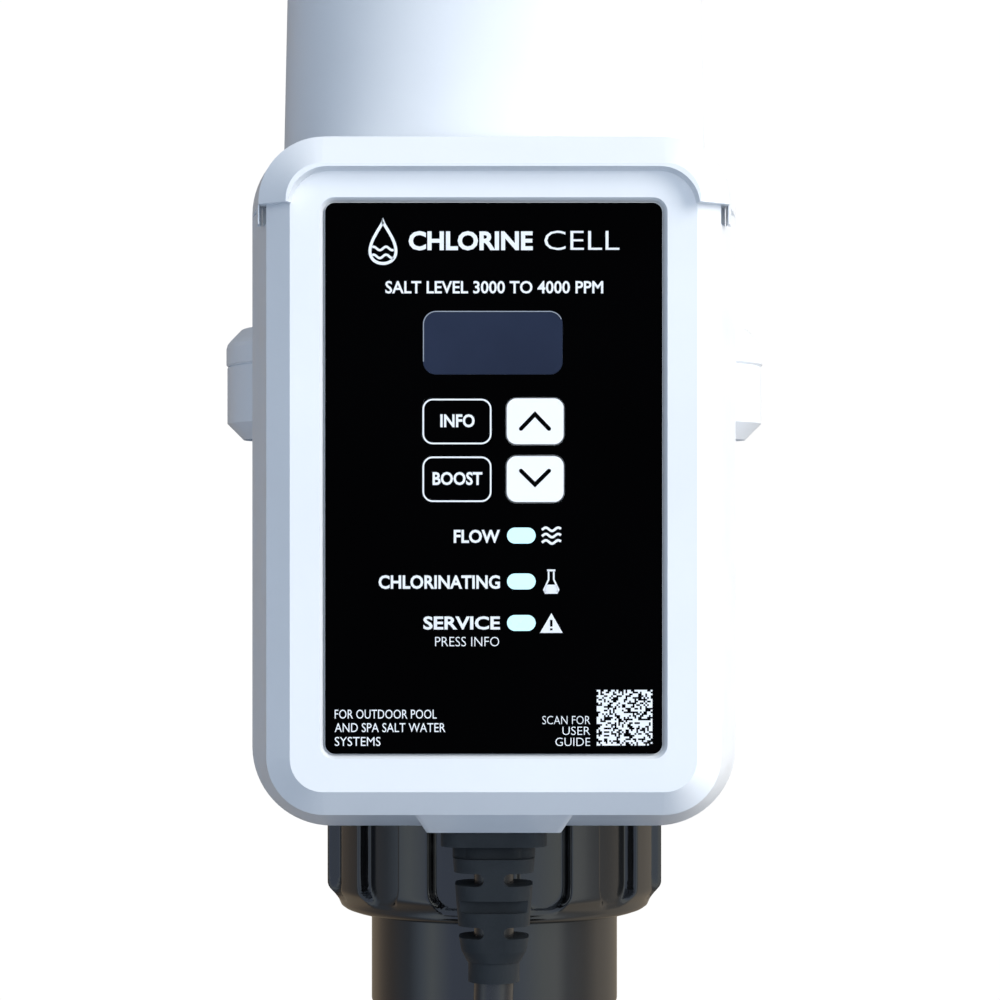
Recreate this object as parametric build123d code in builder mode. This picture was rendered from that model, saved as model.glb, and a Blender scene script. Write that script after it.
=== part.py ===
"""Salt chlorine generator: an upright electrolysis cell between two pipe unions, with its control
box on the front and its supply cable hanging in a tied coil. Millimetres.

The origin is the centre of the lower pipe socket's mouth. +Z runs up along the cell, the control
panel faces -Y and +X is to its right. Depths are distances in front of the cell's axis, so a depth
of 60 lies at y = -60, and Plane.XZ.offset(60) is the plane there, facing forwards.
"""

import os
from math import cos, pi, radians, sin, sqrt, tan

from build123d import *

os.makedirs("parts", exist_ok=True)

# ---------------------------------------------------------------- driving dimensions

TOTAL_HEIGHT = 470.0  # mouth to mouth of the two sockets
SOCKET_R = 30.2  # slip socket for 60.3 mm pipe
SOCKET_DEPTH = 38.0
TAIL_WALL = 4.8
TAIL_STOP = 5.0  # ledge that the pipe stops on, under the union face
CELL_R = 60.0  # outside of the cell
CELL_WALL = 4.5
SEAM_Z = 181.0  # joint between lower body and upper shell
FLANGE_OUT = 16.3  # how far the body flange stands out of the cell
LOWER_FLANGE_H = 20.7
UPPER_FLANGE_H = 10.3
SHELL_DRAFT = 1.15  # degrees

BOX_W = 128.4
BOX_H = 183.2
BOX_Z = 148.4  # height of the box's centre
BOX_CORNER = 21.0
BOX_WALL = 2.5
BOX_BACK = CELL_R - 20.0  # depth of the box's back
PARTING = CELL_R + 3.0  # depth of the joint between back shell and cover
FACE = CELL_R + 44.0  # depth of the panel face
BOX_DRAFT = 10.27
EDGE_CHAMFER = 6.4  # 45 degree chamfer round the face
HOOD_RISE = 4.2  # how far the hood stands proud of the face
HOOD_END_Z = BOX_Z + 70.0

PANEL_MARGIN = 8.9  # from the face's edge to the overlay
PANEL_H = 139.4
PANEL_RISE_Z = 0.4  # overlay centre above the box's centre
PANEL_T = 1.1
RECESS = 1.6
KEY_H = 11.6
KEY_TRAVEL = 0.5
KEY_GAP = 0.35

CABLE_R = 5.2
CABLE_OUT = 15.0  # cable axis in front of the cell's surface
PLATES = 11
PLATE_PITCH = 7.0

# ---------------------------------------------------------------- sizes that follow

TAIL_R = SOCKET_R + TAIL_WALL
TAIL_FLANGE_R = TAIL_R + 3.6
TAIL_BORE_R = SOCKET_R - 3.7
NECK_FACE_Z = SOCKET_DEPTH + TAIL_STOP
NUT_BORE_R = TAIL_FLANGE_R + 2.4
NECK_CREST_R = NUT_BORE_R - 0.4
NECK_ROOT_R = NUT_BORE_R - 2.0
NECK_BORE_R = SOCKET_R - 0.2
NUT_FLOOR_R = NUT_BORE_R + 3.1
NUT_RIB_R = NUT_FLOOR_R + 3.5
NUT_Z = NECK_FACE_Z - 15.7
NUT_H = 46.0
NUT_LIP = 7.3
NECK_TOP_Z = NECK_FACE_Z + 37.0
SHOULDER_Z = NECK_TOP_Z + 20.0
FLANGE_R = CELL_R + FLANGE_OUT
UPPER_R = CELL_R + 1.0
SHELL_TOP_Z = TOTAL_HEIGHT - NECK_FACE_Z - 55.0
SHELL_TOP_R = UPPER_R - (SHELL_TOP_Z - SEAM_Z) * tan(radians(SHELL_DRAFT))
CHAMBER_R = CELL_R - CELL_WALL
SHELL_CHAMBER_R = SHELL_TOP_R - CELL_WALL

SIDE_DEPTH = FACE - PARTING - EDGE_CHAMFER
SIDE_IN = SIDE_DEPTH * tan(radians(BOX_DRAFT))
FACE_W = BOX_W - 2 * SIDE_IN - 2 * EDGE_CHAMFER
FACE_H = BOX_H - 2 * SIDE_IN - 2 * EDGE_CHAMFER
PANEL_W = FACE_W - 2 * PANEL_MARGIN
PANEL_Z = BOX_Z + PANEL_RISE_Z
INNER_FACE = FACE - 3.5
OVERLAY_BACK = FACE - RECESS
OVERLAY_FRONT = OVERLAY_BACK + PANEL_T
BOARD_T = 1.6
BOARD_BACK = FACE - 17.6
BOARD_FRONT = BOARD_BACK + BOARD_T
CABLE_DEPTH = CELL_R + CABLE_OUT
SCREW_X = BOX_W / 2 - 13.2
SCREW_RISE = BOX_H / 2 - 16.0
COVER_SCREWS = [(s * SCREW_X, BOX_Z + r * SCREW_RISE) for s in (-1, 1) for r in (-1, -0.1, 1)]


# ---------------------------------------------------------------- union tail, nut and O-ring


TAIL_FLANGE_H = 8.0
with BuildPart() as lower_union_tail:
    with BuildSketch(Plane.XZ):
        with BuildLine():
            Polyline(
                (SOCKET_R, 0),
                (TAIL_R, 0),
                (TAIL_R, NECK_FACE_Z - TAIL_FLANGE_H),
                (TAIL_FLANGE_R, NECK_FACE_Z - TAIL_FLANGE_H),
                (TAIL_FLANGE_R, NECK_FACE_Z),
                (TAIL_BORE_R, NECK_FACE_Z),
                (TAIL_BORE_R, SOCKET_DEPTH),
                (SOCKET_R, SOCKET_DEPTH),
                close=True,
            )
        make_face()
    revolve(axis=Axis.Z)
    outer_rim = lower_union_tail.edges().filter_by(GeomType.CIRCLE).group_by(Axis.Z)[0]
    fillet(outer_rim.sort_by(SortBy.RADIUS)[-1], radius=1.8)

# The nut is a lobed ring: ribs with wide rounded grooves between them, a lip under the tail's
# flange and thread ridges inside.
NUT_LOBES = 12
GROOVE_W = 14.4
NUT_TURN = 2.0  # degrees that the tightened nut stands past square
THREAD_PITCH = 5.5
THREAD_TURNS = 4
RIDGE_ROOT = 1.6
RIDGE_CREST = 0.6


def ridge(root_r, crest_r, height):
    """Sketches one thread ridge's section at the given height."""
    Polygon(
        (root_r, height - RIDGE_ROOT),
        (crest_r, height - RIDGE_CREST),
        (crest_r, height + RIDGE_CREST),
        (root_r, height + RIDGE_ROOT),
        align=None,
    )


with BuildPart() as nut_grooves:
    for lobe in range(NUT_LOBES):
        angle = radians((lobe + 0.5) * 360 / NUT_LOBES + NUT_TURN)
        outward = (cos(angle), sin(angle), 0)
        with BuildSketch(Plane(origin=(0, 0, NUT_Z), x_dir=(-sin(angle), cos(angle), 0), z_dir=outward)):
            with Locations((0, 4.2 + NUT_H / 2)):
                RectangleRounded(GROOVE_W, NUT_H, 5.5)
            with Locations((0, NUT_H)):
                Rectangle(GROOVE_W, NUT_H / 2)
        extrude(amount=2 * NUT_RIB_R)
    Cylinder(NUT_FLOOR_R, 4 * NUT_H, mode=Mode.SUBTRACT)

with BuildPart() as lower_union_nut:
    with BuildSketch(Plane.XZ):
        with BuildLine():
            lip_r = TAIL_R + 0.4
            base_z = NUT_Z
            step_z = NUT_Z + NUT_LIP
            top_z = NUT_Z + NUT_H
            Line((lip_r, base_z), (NUT_FLOOR_R - 4.1, base_z))
            Spline(
                (NUT_FLOOR_R - 4.1, base_z),
                (NUT_FLOOR_R, base_z + 2.1),
                tangents=((1, 0), (0.2, 1)),
            )
            RadiusArc((NUT_FLOOR_R, base_z + 2.1), (NUT_RIB_R, base_z + 7.1), -5.5)
            Line((NUT_RIB_R, base_z + 7.1), (NUT_RIB_R, top_z - 3))
            RadiusArc((NUT_RIB_R, top_z - 3), (NUT_RIB_R - 3, top_z), -3)
            Line((NUT_RIB_R - 3, top_z), (NUT_BORE_R, top_z))
            Line((NUT_BORE_R, top_z), (NUT_BORE_R, step_z))
            Line((NUT_BORE_R, step_z), (lip_r, step_z))
            Line((lip_r, step_z), (lip_r, base_z))
        make_face()
    revolve(axis=Axis.Z)
    add(nut_grooves.part, mode=Mode.SUBTRACT)
    with BuildSketch(Plane.XZ):
        for turn in range(THREAD_TURNS):
            ridge(NUT_BORE_R + 0.5, NECK_ROOT_R + 0.4, NECK_FACE_Z + 9.75 + turn * THREAD_PITCH)
    revolve(axis=Axis.Z)

SEAL_R = 1.55
UNION_SEAL_R = NECK_BORE_R + 3.6
with BuildPart() as lower_union_oring:
    with BuildSketch(Plane.XZ):
        with Locations((UNION_SEAL_R, NECK_FACE_Z + SEAL_R + 0.05)):
            Circle(SEAL_R)
    revolve(axis=Axis.Z)

# The upper union is the same three pieces turned over.
MIDDLE = Plane.XY.offset(TOTAL_HEIGHT / 2)
with BuildPart() as upper_union_tail:
    mirror(lower_union_tail.part, about=MIDDLE)
with BuildPart() as upper_union_nut:
    mirror(lower_union_nut.part, about=MIDDLE)
with BuildPart() as upper_union_oring:
    mirror(lower_union_oring.part, about=MIDDLE)

lower_union_tail.part.label = "lower_union_tail"
export_step(lower_union_tail.part, "parts/lower_union_tail.step")
lower_union_nut.part.label = "lower_union_nut"
export_step(lower_union_nut.part, "parts/lower_union_nut.step")
lower_union_oring.part.label = "lower_union_oring"
export_step(lower_union_oring.part, "parts/lower_union_oring.step")
upper_union_tail.part.label = "upper_union_tail"
export_step(upper_union_tail.part, "parts/upper_union_tail.step")
upper_union_nut.part.label = "upper_union_nut"
export_step(upper_union_nut.part, "parts/upper_union_nut.step")
upper_union_oring.part.label = "upper_union_oring"
export_step(upper_union_oring.part, "parts/upper_union_oring.step")


# ---------------------------------------------------------------- holes shared by cell and box

FLOW_Z = SHOULDER_Z + 30.0
FLOW_STEM_R = 9.0
PROBE_X = 25.0
PROBE_Z = FLOW_Z - 14.0
PROBE_R = 3.0
POST_X = 4 * PLATE_PITCH
POST_Z = SEAM_Z + 38.0
POST_R = 3.2
POST_SEAL_R = 6.0
HOLE_GAP = 0.1
EAR_X = BOX_W / 2 - 7.7
LOWER_EAR_Z = SHOULDER_Z + 12.0
UPPER_EAR_Z = SEAM_Z + 24.4
EAR_HOLE = 12.0
EAR_GAP = 0.2


def front_holes(spots, radius, start, length):
    """Cuts round holes that run forwards from the depth start, at (x, z) spots."""
    with BuildSketch(Plane.XZ.offset(start)) as circles:
        with Locations(*spots):
            Circle(radius)
    extrude(circles.sketch, amount=length, mode=Mode.SUBTRACT)


def mounting_ears(height):
    """Adds the two ears that the box's back is screwed to, with their screw holes."""
    ear_depth = BOX_BACK - EAR_GAP
    root_r = CELL_R - 2
    root_front = sqrt(root_r**2 - ear_depth**2)
    root_back = sqrt(root_r**2 - (ear_depth - 18) ** 2)
    for side in (-1, 1):
        with BuildSketch(Plane.XY.offset(height - 7)) as ear:
            Polygon(
                (side * root_front, -ear_depth),
                (side * (EAR_X + 4.5), -ear_depth),
                (side * (EAR_X + 4.5), -ear_depth + 12),
                (side * (root_back + 4.5), -ear_depth + 18),
                (side * root_back, -ear_depth + 18),
                align=None,
            )
        extrude(ear.sketch, amount=14)
    front_holes([(-EAR_X, height), (EAR_X, height)], 1.75, ear_depth - EAR_HOLE, EAR_HOLE)


# ---------------------------------------------------------------- lower body

SCREW_CIRCLE = FLANGE_R - 8.3
FLANGE_SCREWS = 8
BODY_SEAL_R = CHAMBER_R + 6.3
with BuildPart() as lower_body:
    flange_z = SEAM_Z - LOWER_FLANGE_H
    with BuildSketch(Plane.XZ):
        with BuildLine():
            Polyline(
                (NECK_BORE_R, NECK_FACE_Z),
                (NECK_ROOT_R, NECK_FACE_Z),
                (NECK_ROOT_R, NECK_FACE_Z + 31),
                (NECK_CREST_R, NECK_FACE_Z + 32.6),
                (NECK_CREST_R, NECK_TOP_Z),
                (CELL_R - 5, SHOULDER_Z - 5),
                (CELL_R, SHOULDER_Z + 3),
                (CELL_R, flange_z),
                (FLANGE_R - 4.9, flange_z),
                (FLANGE_R - 0.3, flange_z + 4.6),
                (FLANGE_R - 0.3, SEAM_Z - 0.5),
                (FLANGE_R - 0.8, SEAM_Z),
                (CHAMBER_R, SEAM_Z),
                (CHAMBER_R, SHOULDER_Z + 5),
                (CHAMBER_R - 5, SHOULDER_Z - 1),
                (NECK_BORE_R, NECK_TOP_Z + 3),
                close=True,
            )
        make_face()
        for turn in range(THREAD_TURNS):
            ridge(NECK_ROOT_R - 0.5, NECK_CREST_R, NECK_FACE_Z + 7 + turn * THREAD_PITCH)
    revolve(axis=Axis.Z)
    # face groove for the union seal
    with BuildSketch(Plane.XY.offset(NECK_FACE_Z)):
        Circle(UNION_SEAL_R + SEAL_R + 0.3)
        Circle(UNION_SEAL_R - SEAL_R - 0.3, mode=Mode.SUBTRACT)
    extrude(amount=2 * SEAL_R + 0.1, mode=Mode.SUBTRACT)
    # groove for the body seal
    with BuildSketch(Plane.XY.offset(SEAM_Z)):
        Circle(BODY_SEAL_R + SEAL_R + 0.2)
        Circle(BODY_SEAL_R - SEAL_R - 0.2, mode=Mode.SUBTRACT)
    extrude(amount=-2 * SEAL_R - 0.1, mode=Mode.SUBTRACT)
    # the flange is hollow underneath, with a boss at each screw
    with BuildSketch(Plane.XY.offset(flange_z)):
        Circle(FLANGE_R - 4.9)
        Circle(CELL_R + 3.2, mode=Mode.SUBTRACT)
        with PolarLocations(SCREW_CIRCLE, FLANGE_SCREWS, 22.5):
            Circle(6.2, mode=Mode.SUBTRACT)
    extrude(amount=LOWER_FLANGE_H - 6.5, mode=Mode.SUBTRACT)
    with BuildSketch(Plane.XY.offset(flange_z)):
        with PolarLocations(SCREW_CIRCLE, FLANGE_SCREWS, 22.5):
            Circle(2.1)
    extrude(amount=LOWER_FLANGE_H, mode=Mode.SUBTRACT)
    with BuildSketch(Plane.XY.offset(flange_z)):
        with PolarLocations(SCREW_CIRCLE, FLANGE_SCREWS, 22.5):
            Circle(3.8)
    extrude(amount=4.2, mode=Mode.SUBTRACT)
    mounting_ears(LOWER_EAR_Z)
    front_holes([(0, FLOW_Z)], FLOW_STEM_R + HOLE_GAP, 0, CELL_R + 5)
    front_holes([(PROBE_X, PROBE_Z)], PROBE_R + HOLE_GAP, 0, CELL_R + 5)

lower_body.part.label = "lower_body"
export_step(lower_body.part, "parts/lower_body.step")

with BuildPart() as body_oring:
    with BuildSketch(Plane.XZ):
        with Locations((BODY_SEAL_R, SEAM_Z - SEAL_R - 0.05)):
            Circle(SEAL_R)
    revolve(axis=Axis.Z)
body_oring.part.label = "body_oring"
export_step(body_oring.part, "parts/body_oring.step")


# ---------------------------------------------------------------- upper shell

with BuildPart() as upper_shell:
    flange_top = SEAM_Z + UPPER_FLANGE_H
    neck_low = TOTAL_HEIGHT - NECK_TOP_Z
    neck_face = TOTAL_HEIGHT - NECK_FACE_Z
    with BuildSketch(Plane.XZ):
        with BuildLine():
            Polyline(
                (CHAMBER_R, SEAM_Z),
                (FLANGE_R - 0.5, SEAM_Z),
                (FLANGE_R, SEAM_Z + 0.5),
                (FLANGE_R, flange_top - 5.4),
                (FLANGE_R - 0.35, flange_top - 4.2),
                (FLANGE_R - 1.1, flange_top - 3.2),
                (FLANGE_R - 4.2, flange_top),
                (UPPER_R, flange_top),
                (SHELL_TOP_R, SHELL_TOP_Z),
                (SHELL_TOP_R - 4, SHELL_TOP_Z + 7),
                (NECK_CREST_R, neck_low),
                (NECK_CREST_R, neck_face - 32.6),
                (NECK_ROOT_R, neck_face - 31),
                (NECK_ROOT_R, neck_face),
                (NECK_BORE_R, neck_face),
                (NECK_BORE_R, neck_low - 3),
                (SHELL_CHAMBER_R - 5, SHELL_TOP_Z + 3),
                (SHELL_CHAMBER_R, SHELL_TOP_Z - 3),
                close=True,
            )
        make_face()
        for turn in range(THREAD_TURNS):
            ridge(NECK_ROOT_R - 0.5, NECK_CREST_R, neck_face - 7 - turn * THREAD_PITCH)
    revolve(axis=Axis.Z)
    with BuildSketch(Plane.XY.offset(neck_face)):
        Circle(UNION_SEAL_R + SEAL_R + 0.3)
        Circle(UNION_SEAL_R - SEAL_R - 0.3, mode=Mode.SUBTRACT)
    extrude(amount=-2 * SEAL_R - 0.1, mode=Mode.SUBTRACT)
    with BuildSketch(Plane.XY.offset(SEAM_Z)):
        with PolarLocations(SCREW_CIRCLE, FLANGE_SCREWS, 22.5):
            Circle(2.1)
    extrude(amount=UPPER_FLANGE_H - 3, mode=Mode.SUBTRACT)
    mounting_ears(UPPER_EAR_Z)
    front_holes([(-POST_X, POST_Z), (POST_X, POST_Z)], POST_SEAL_R + HOLE_GAP, 0, CELL_R + 5)

upper_shell.part.label = "upper_shell"
export_step(upper_shell.part, "parts/upper_shell.step")

with BuildPart() as flange_screws:
    with BuildSketch(Plane.XY.offset(SEAM_Z - LOWER_FLANGE_H + 0.6)):
        with PolarLocations(SCREW_CIRCLE, FLANGE_SCREWS, 22.5):
            Circle(3.5)
            RegularPolygon(1.6, 6, mode=Mode.SUBTRACT)
    extrude(amount=3.6)
    with BuildSketch(Plane.XY.offset(SEAM_Z - LOWER_FLANGE_H + 2.6)):
        with PolarLocations(SCREW_CIRCLE, FLANGE_SCREWS, 22.5):
            Circle(2.0)
    extrude(amount=LOWER_FLANGE_H + 3.4)
flange_screws.part.label = "flange_screws"
export_step(flange_screws.part, "parts/flange_screws.step")


# ---------------------------------------------------------------- electrode stack

PLATE_T = 1.0
PLATE_HALF = CELL_R - 24.0
PLATE_Z = POST_Z - 12.0
PLATE_TOP = SHELL_TOP_Z - 22.0
STACK_HALF = (PLATES - 1) / 2 * PLATE_PITCH
with BuildPart() as electrode_plates:
    with BuildSketch(Plane.YZ.offset(-STACK_HALF - PLATE_T / 2)):
        with Locations((0, (PLATE_Z + PLATE_TOP) / 2)):
            RectangleRounded(2 * PLATE_HALF, PLATE_TOP - PLATE_Z, 3)
    extrude(amount=PLATE_T)
    first_plate = electrode_plates.part.solids()[0]
    for index in range(1, PLATES):
        with Locations((index * PLATE_PITCH, 0, 0)):
            add(first_plate)
electrode_plates.part.label = "electrode_plates"
export_step(electrode_plates.part, "parts/electrode_plates.step")

COMB_H = 8.0


def comb_block(height):
    """Adds one slotted comb that holds the plates' ends, a cross of two bars, at the given height."""
    with BuildSketch(Plane.XY.offset(height)) as bars:
        for depth in (-PLATE_HALF + 8, PLATE_HALF - 8):
            with Locations((0, depth)):
                Rectangle(2 * STACK_HALF + 8, 5)
        Rectangle(4, 2 * PLATE_HALF - 16)
    extrude(bars.sketch, amount=COMB_H)
    with BuildSketch(Plane.XY.offset(height)) as slots:
        with GridLocations(PLATE_PITCH, 1, PLATES, 1):
            Rectangle(PLATE_T + 0.1, 2 * PLATE_HALF + 2)
    extrude(slots.sketch, amount=COMB_H - 2.5, mode=Mode.SUBTRACT)


with BuildPart() as lower_plate_comb:
    comb_block(TOTAL_HEIGHT - PLATE_Z - 4)
    mirror(about=MIDDLE, mode=Mode.REPLACE)
with BuildPart() as upper_plate_comb:
    comb_block(PLATE_TOP - 4)

lower_plate_comb.part.label = "lower_plate_comb"
export_step(lower_plate_comb.part, "parts/lower_plate_comb.step")
upper_plate_comb.part.label = "upper_plate_comb"
export_step(upper_plate_comb.part, "parts/upper_plate_comb.step")

# Each driven plate's post grips the plate's front edge in a slot and runs out through the wall.
POST_SPOTS = [(-POST_X, POST_Z), (POST_X, POST_Z)]
POST_BACK = PLATE_HALF - 6.0
POST_FRONT = CELL_R + 14.0
with BuildPart() as terminal_posts:
    with BuildSketch(Plane.XZ.offset(POST_BACK)):
        with Locations(*POST_SPOTS):
            Circle(POST_R)
    extrude(amount=POST_FRONT - POST_BACK)
    with BuildSketch(Plane.XZ.offset(POST_BACK)):
        with Locations(*POST_SPOTS):
            Rectangle(PLATE_T + 0.04, 4 * POST_R)
    extrude(amount=PLATE_HALF - POST_BACK + 0.1, mode=Mode.SUBTRACT)
terminal_posts.part.label = "terminal_posts"
export_step(terminal_posts.part, "parts/terminal_posts.step")

SADDLE_WALL = 3.0
POST_WALL = sqrt((UPPER_R + SADDLE_WALL) ** 2 - POST_X**2) + 4.0
with BuildPart() as terminal_seals:
    with BuildSketch(Plane.XZ.offset(PLATE_HALF + 4)):
        with Locations(*POST_SPOTS):
            Circle(POST_SEAL_R)
            Circle(POST_R + 0.02, mode=Mode.SUBTRACT)
    extrude(amount=POST_WALL - PLATE_HALF - 4)
terminal_seals.part.label = "terminal_seals"
export_step(terminal_seals.part, "parts/terminal_seals.step")

with BuildPart() as terminal_nuts:
    with BuildSketch(Plane.XZ.offset(POST_WALL + 2.2)):
        with Locations(*POST_SPOTS):
            RegularPolygon(5.6, 6)
            Circle(POST_R + 0.02, mode=Mode.SUBTRACT)
    extrude(amount=3.6)
terminal_nuts.part.label = "terminal_nuts"
export_step(terminal_nuts.part, "parts/terminal_nuts.step")


# ---------------------------------------------------------------- flow switch and probe

PIVOT_DEPTH = CHAMBER_R - 11.5
with BuildPart() as flow_switch_body:
    with BuildSketch(Plane.XZ.offset(PIVOT_DEPTH + 5)):
        with Locations((0, FLOW_Z)):
            Circle(FLOW_STEM_R)
    extrude(amount=CELL_R + SADDLE_WALL + 1 - PIVOT_DEPTH - 5)
    with BuildSketch(Plane.XZ.offset(CELL_R + SADDLE_WALL + 1)):
        with Locations((0, FLOW_Z)):
            RegularPolygon(12, 6)
    extrude(amount=3.6)
    # two ears hold the paddle's pin
    with BuildSketch(Plane.YZ.offset(-7.5)):
        with Locations((-PIVOT_DEPTH, FLOW_Z)):
            Circle(3.8)
        with Locations((-PIVOT_DEPTH - 3.5, FLOW_Z)):
            Rectangle(7, 7.6)
    extrude(amount=15)
    with BuildSketch(Plane.YZ.offset(-4.6)):
        with Locations((-PIVOT_DEPTH - 0.5, FLOW_Z)):
            Rectangle(10.9, 12)
    extrude(amount=9.2, mode=Mode.SUBTRACT)
    with BuildSketch(Plane.YZ.offset(-10)):
        with Locations((-PIVOT_DEPTH, FLOW_Z)):
            Circle(1.5)
    extrude(amount=20, mode=Mode.SUBTRACT)
    # groove for the stem seal
    with BuildSketch(Plane.XZ.offset(CELL_R - 3.1)):
        with Locations((0, FLOW_Z)):
            Circle(FLOW_STEM_R)
            Circle(FLOW_STEM_R - 1.9, mode=Mode.SUBTRACT)
    extrude(amount=2.2, mode=Mode.SUBTRACT)
flow_switch_body.part.label = "flow_switch_body"
export_step(flow_switch_body.part, "parts/flow_switch_body.step")

with BuildPart() as flow_switch_seal:
    with BuildSketch(Plane.XY.offset(FLOW_Z)):
        with Locations((FLOW_STEM_R - 0.92, -CELL_R + 2)):
            Circle(0.92)
    revolve(axis=Axis((0, 0, FLOW_Z), (0, -1, 0)))
flow_switch_seal.part.label = "flow_switch_seal"
export_step(flow_switch_seal.part, "parts/flow_switch_seal.step")

with BuildPart() as flow_paddle_pin:
    with BuildSketch(Plane.YZ.offset(-8)):
        with Locations((-PIVOT_DEPTH, FLOW_Z)):
            Circle(1.48)
    extrude(amount=16)
flow_paddle_pin.part.label = "flow_paddle_pin"
export_step(flow_paddle_pin.part, "parts/flow_paddle_pin.step")

with BuildPart() as flow_paddle:
    with BuildSketch(Plane.YZ.offset(-4.2)):
        with Locations((-PIVOT_DEPTH, FLOW_Z)):
            Circle(3.4)
    extrude(amount=8.4)
    with BuildSketch(Plane.XY.offset(FLOW_Z - 0.8)):
        with Locations((0, -PIVOT_DEPTH + 5)):
            Rectangle(8, 6)
        with Locations((0, -PIVOT_DEPTH + 22)):
            RectangleRounded(22, 28, 6)
    extrude(amount=1.6)
    with BuildSketch(Plane.YZ.offset(-6)):
        with Locations((-PIVOT_DEPTH, FLOW_Z)):
            Circle(1.54)
    extrude(amount=12, mode=Mode.SUBTRACT)
flow_paddle.part.label = "flow_paddle"
export_step(flow_paddle.part, "parts/flow_paddle.step")

with BuildPart() as temperature_probe:
    with BuildSketch(Plane.XZ.offset(CELL_R - 24)):
        with Locations((PROBE_X, PROBE_Z)):
            Circle(PROBE_R)
    extrude(amount=29)
    fillet(temperature_probe.edges().group_by(Axis.Y)[-1], radius=PROBE_R * 0.8)
    with BuildSketch(Plane.XZ.offset(CELL_R + 1.5)):
        with Locations((PROBE_X, PROBE_Z)):
            RegularPolygon(5.5, 6)
    extrude(amount=3.5)
temperature_probe.part.label = "temperature_probe"
export_step(temperature_probe.part, "parts/temperature_probe.step")


# ---------------------------------------------------------------- box back shell


def box_outline(inset, depth):
    """Sketches the box's outline at the parting line, drawn in by inset, on the plane at a depth."""
    with BuildSketch(Plane.XZ.offset(depth)) as outline:
        with Locations((0, BOX_Z)):
            RectangleRounded(BOX_W - 2 * inset, BOX_H - 2 * inset, BOX_CORNER - inset)
    return outline.sketch


BACK_DRAFT = 5.0
FIT_GAP = 0.3
SADDLE_LOW_R = NUT_RIB_R + 1.9
GASKET_W = 1.3
GASKET_T = 1.0


def saddle_section(grow):
    """Sketches half the section of the space kept for the cell, made larger by grow."""
    low = BOX_Z - BOX_H
    high = BOX_Z + BOX_H
    cell = CELL_R + FIT_GAP + grow
    shell = UPPER_R + FIT_GAP + grow
    rim = FLANGE_R + FIT_GAP + grow
    with BuildSketch(Plane.XZ) as section:
        with BuildLine():
            Polyline(
                (0, low),
                (SADDLE_LOW_R + grow, low),
                (SADDLE_LOW_R + grow, NECK_TOP_Z - 1),
                (cell, SHOULDER_Z - 3),
                (cell, SEAM_Z - LOWER_FLANGE_H - FIT_GAP - grow),
                (rim, SEAM_Z - LOWER_FLANGE_H - FIT_GAP - grow),
                (rim, SEAM_Z + UPPER_FLANGE_H + FIT_GAP + grow),
                (shell, SEAM_Z + UPPER_FLANGE_H + FIT_GAP + grow),
                (shell, high),
                (0, high),
                close=True,
            )
        make_face()
    return section.sketch


def gasket_outline(gap):
    """Sketches the band just inside the back shell's rim, narrower by gap outside."""
    with BuildSketch(Plane.XZ.offset(PARTING - GASKET_T)) as band:
        with Locations((0, BOX_Z)):
            outer = BOX_WALL - GASKET_W + gap
            RectangleRounded(BOX_W - 2 * outer, BOX_H - 2 * outer, BOX_CORNER - outer)
            inner = BOX_WALL
            tall = BOX_H - 2 * inner
            RectangleRounded(BOX_W - 2 * inner, tall, BOX_CORNER - inner, mode=Mode.SUBTRACT)
    return band.sketch


with BuildPart() as cell_space:
    revolve(saddle_section(0), axis=Axis.Z)

with BuildPart() as saddle:
    revolve(saddle_section(SADDLE_WALL), axis=Axis.Z)
    extrude(box_outline(BOX_WALL - 0.5, BOX_BACK), amount=FACE - BOX_BACK, mode=Mode.INTERSECT)
    extrude(box_outline(-BOX_WALL, PARTING - GASKET_T), amount=FACE - PARTING, mode=Mode.SUBTRACT)

with BuildPart() as saddle_front:
    revolve(saddle_section(SADDLE_WALL), axis=Axis.Z)
    extrude(box_outline(BOX_WALL + 2.5, BOX_BACK), amount=FACE - BOX_BACK, mode=Mode.INTERSECT)

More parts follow.
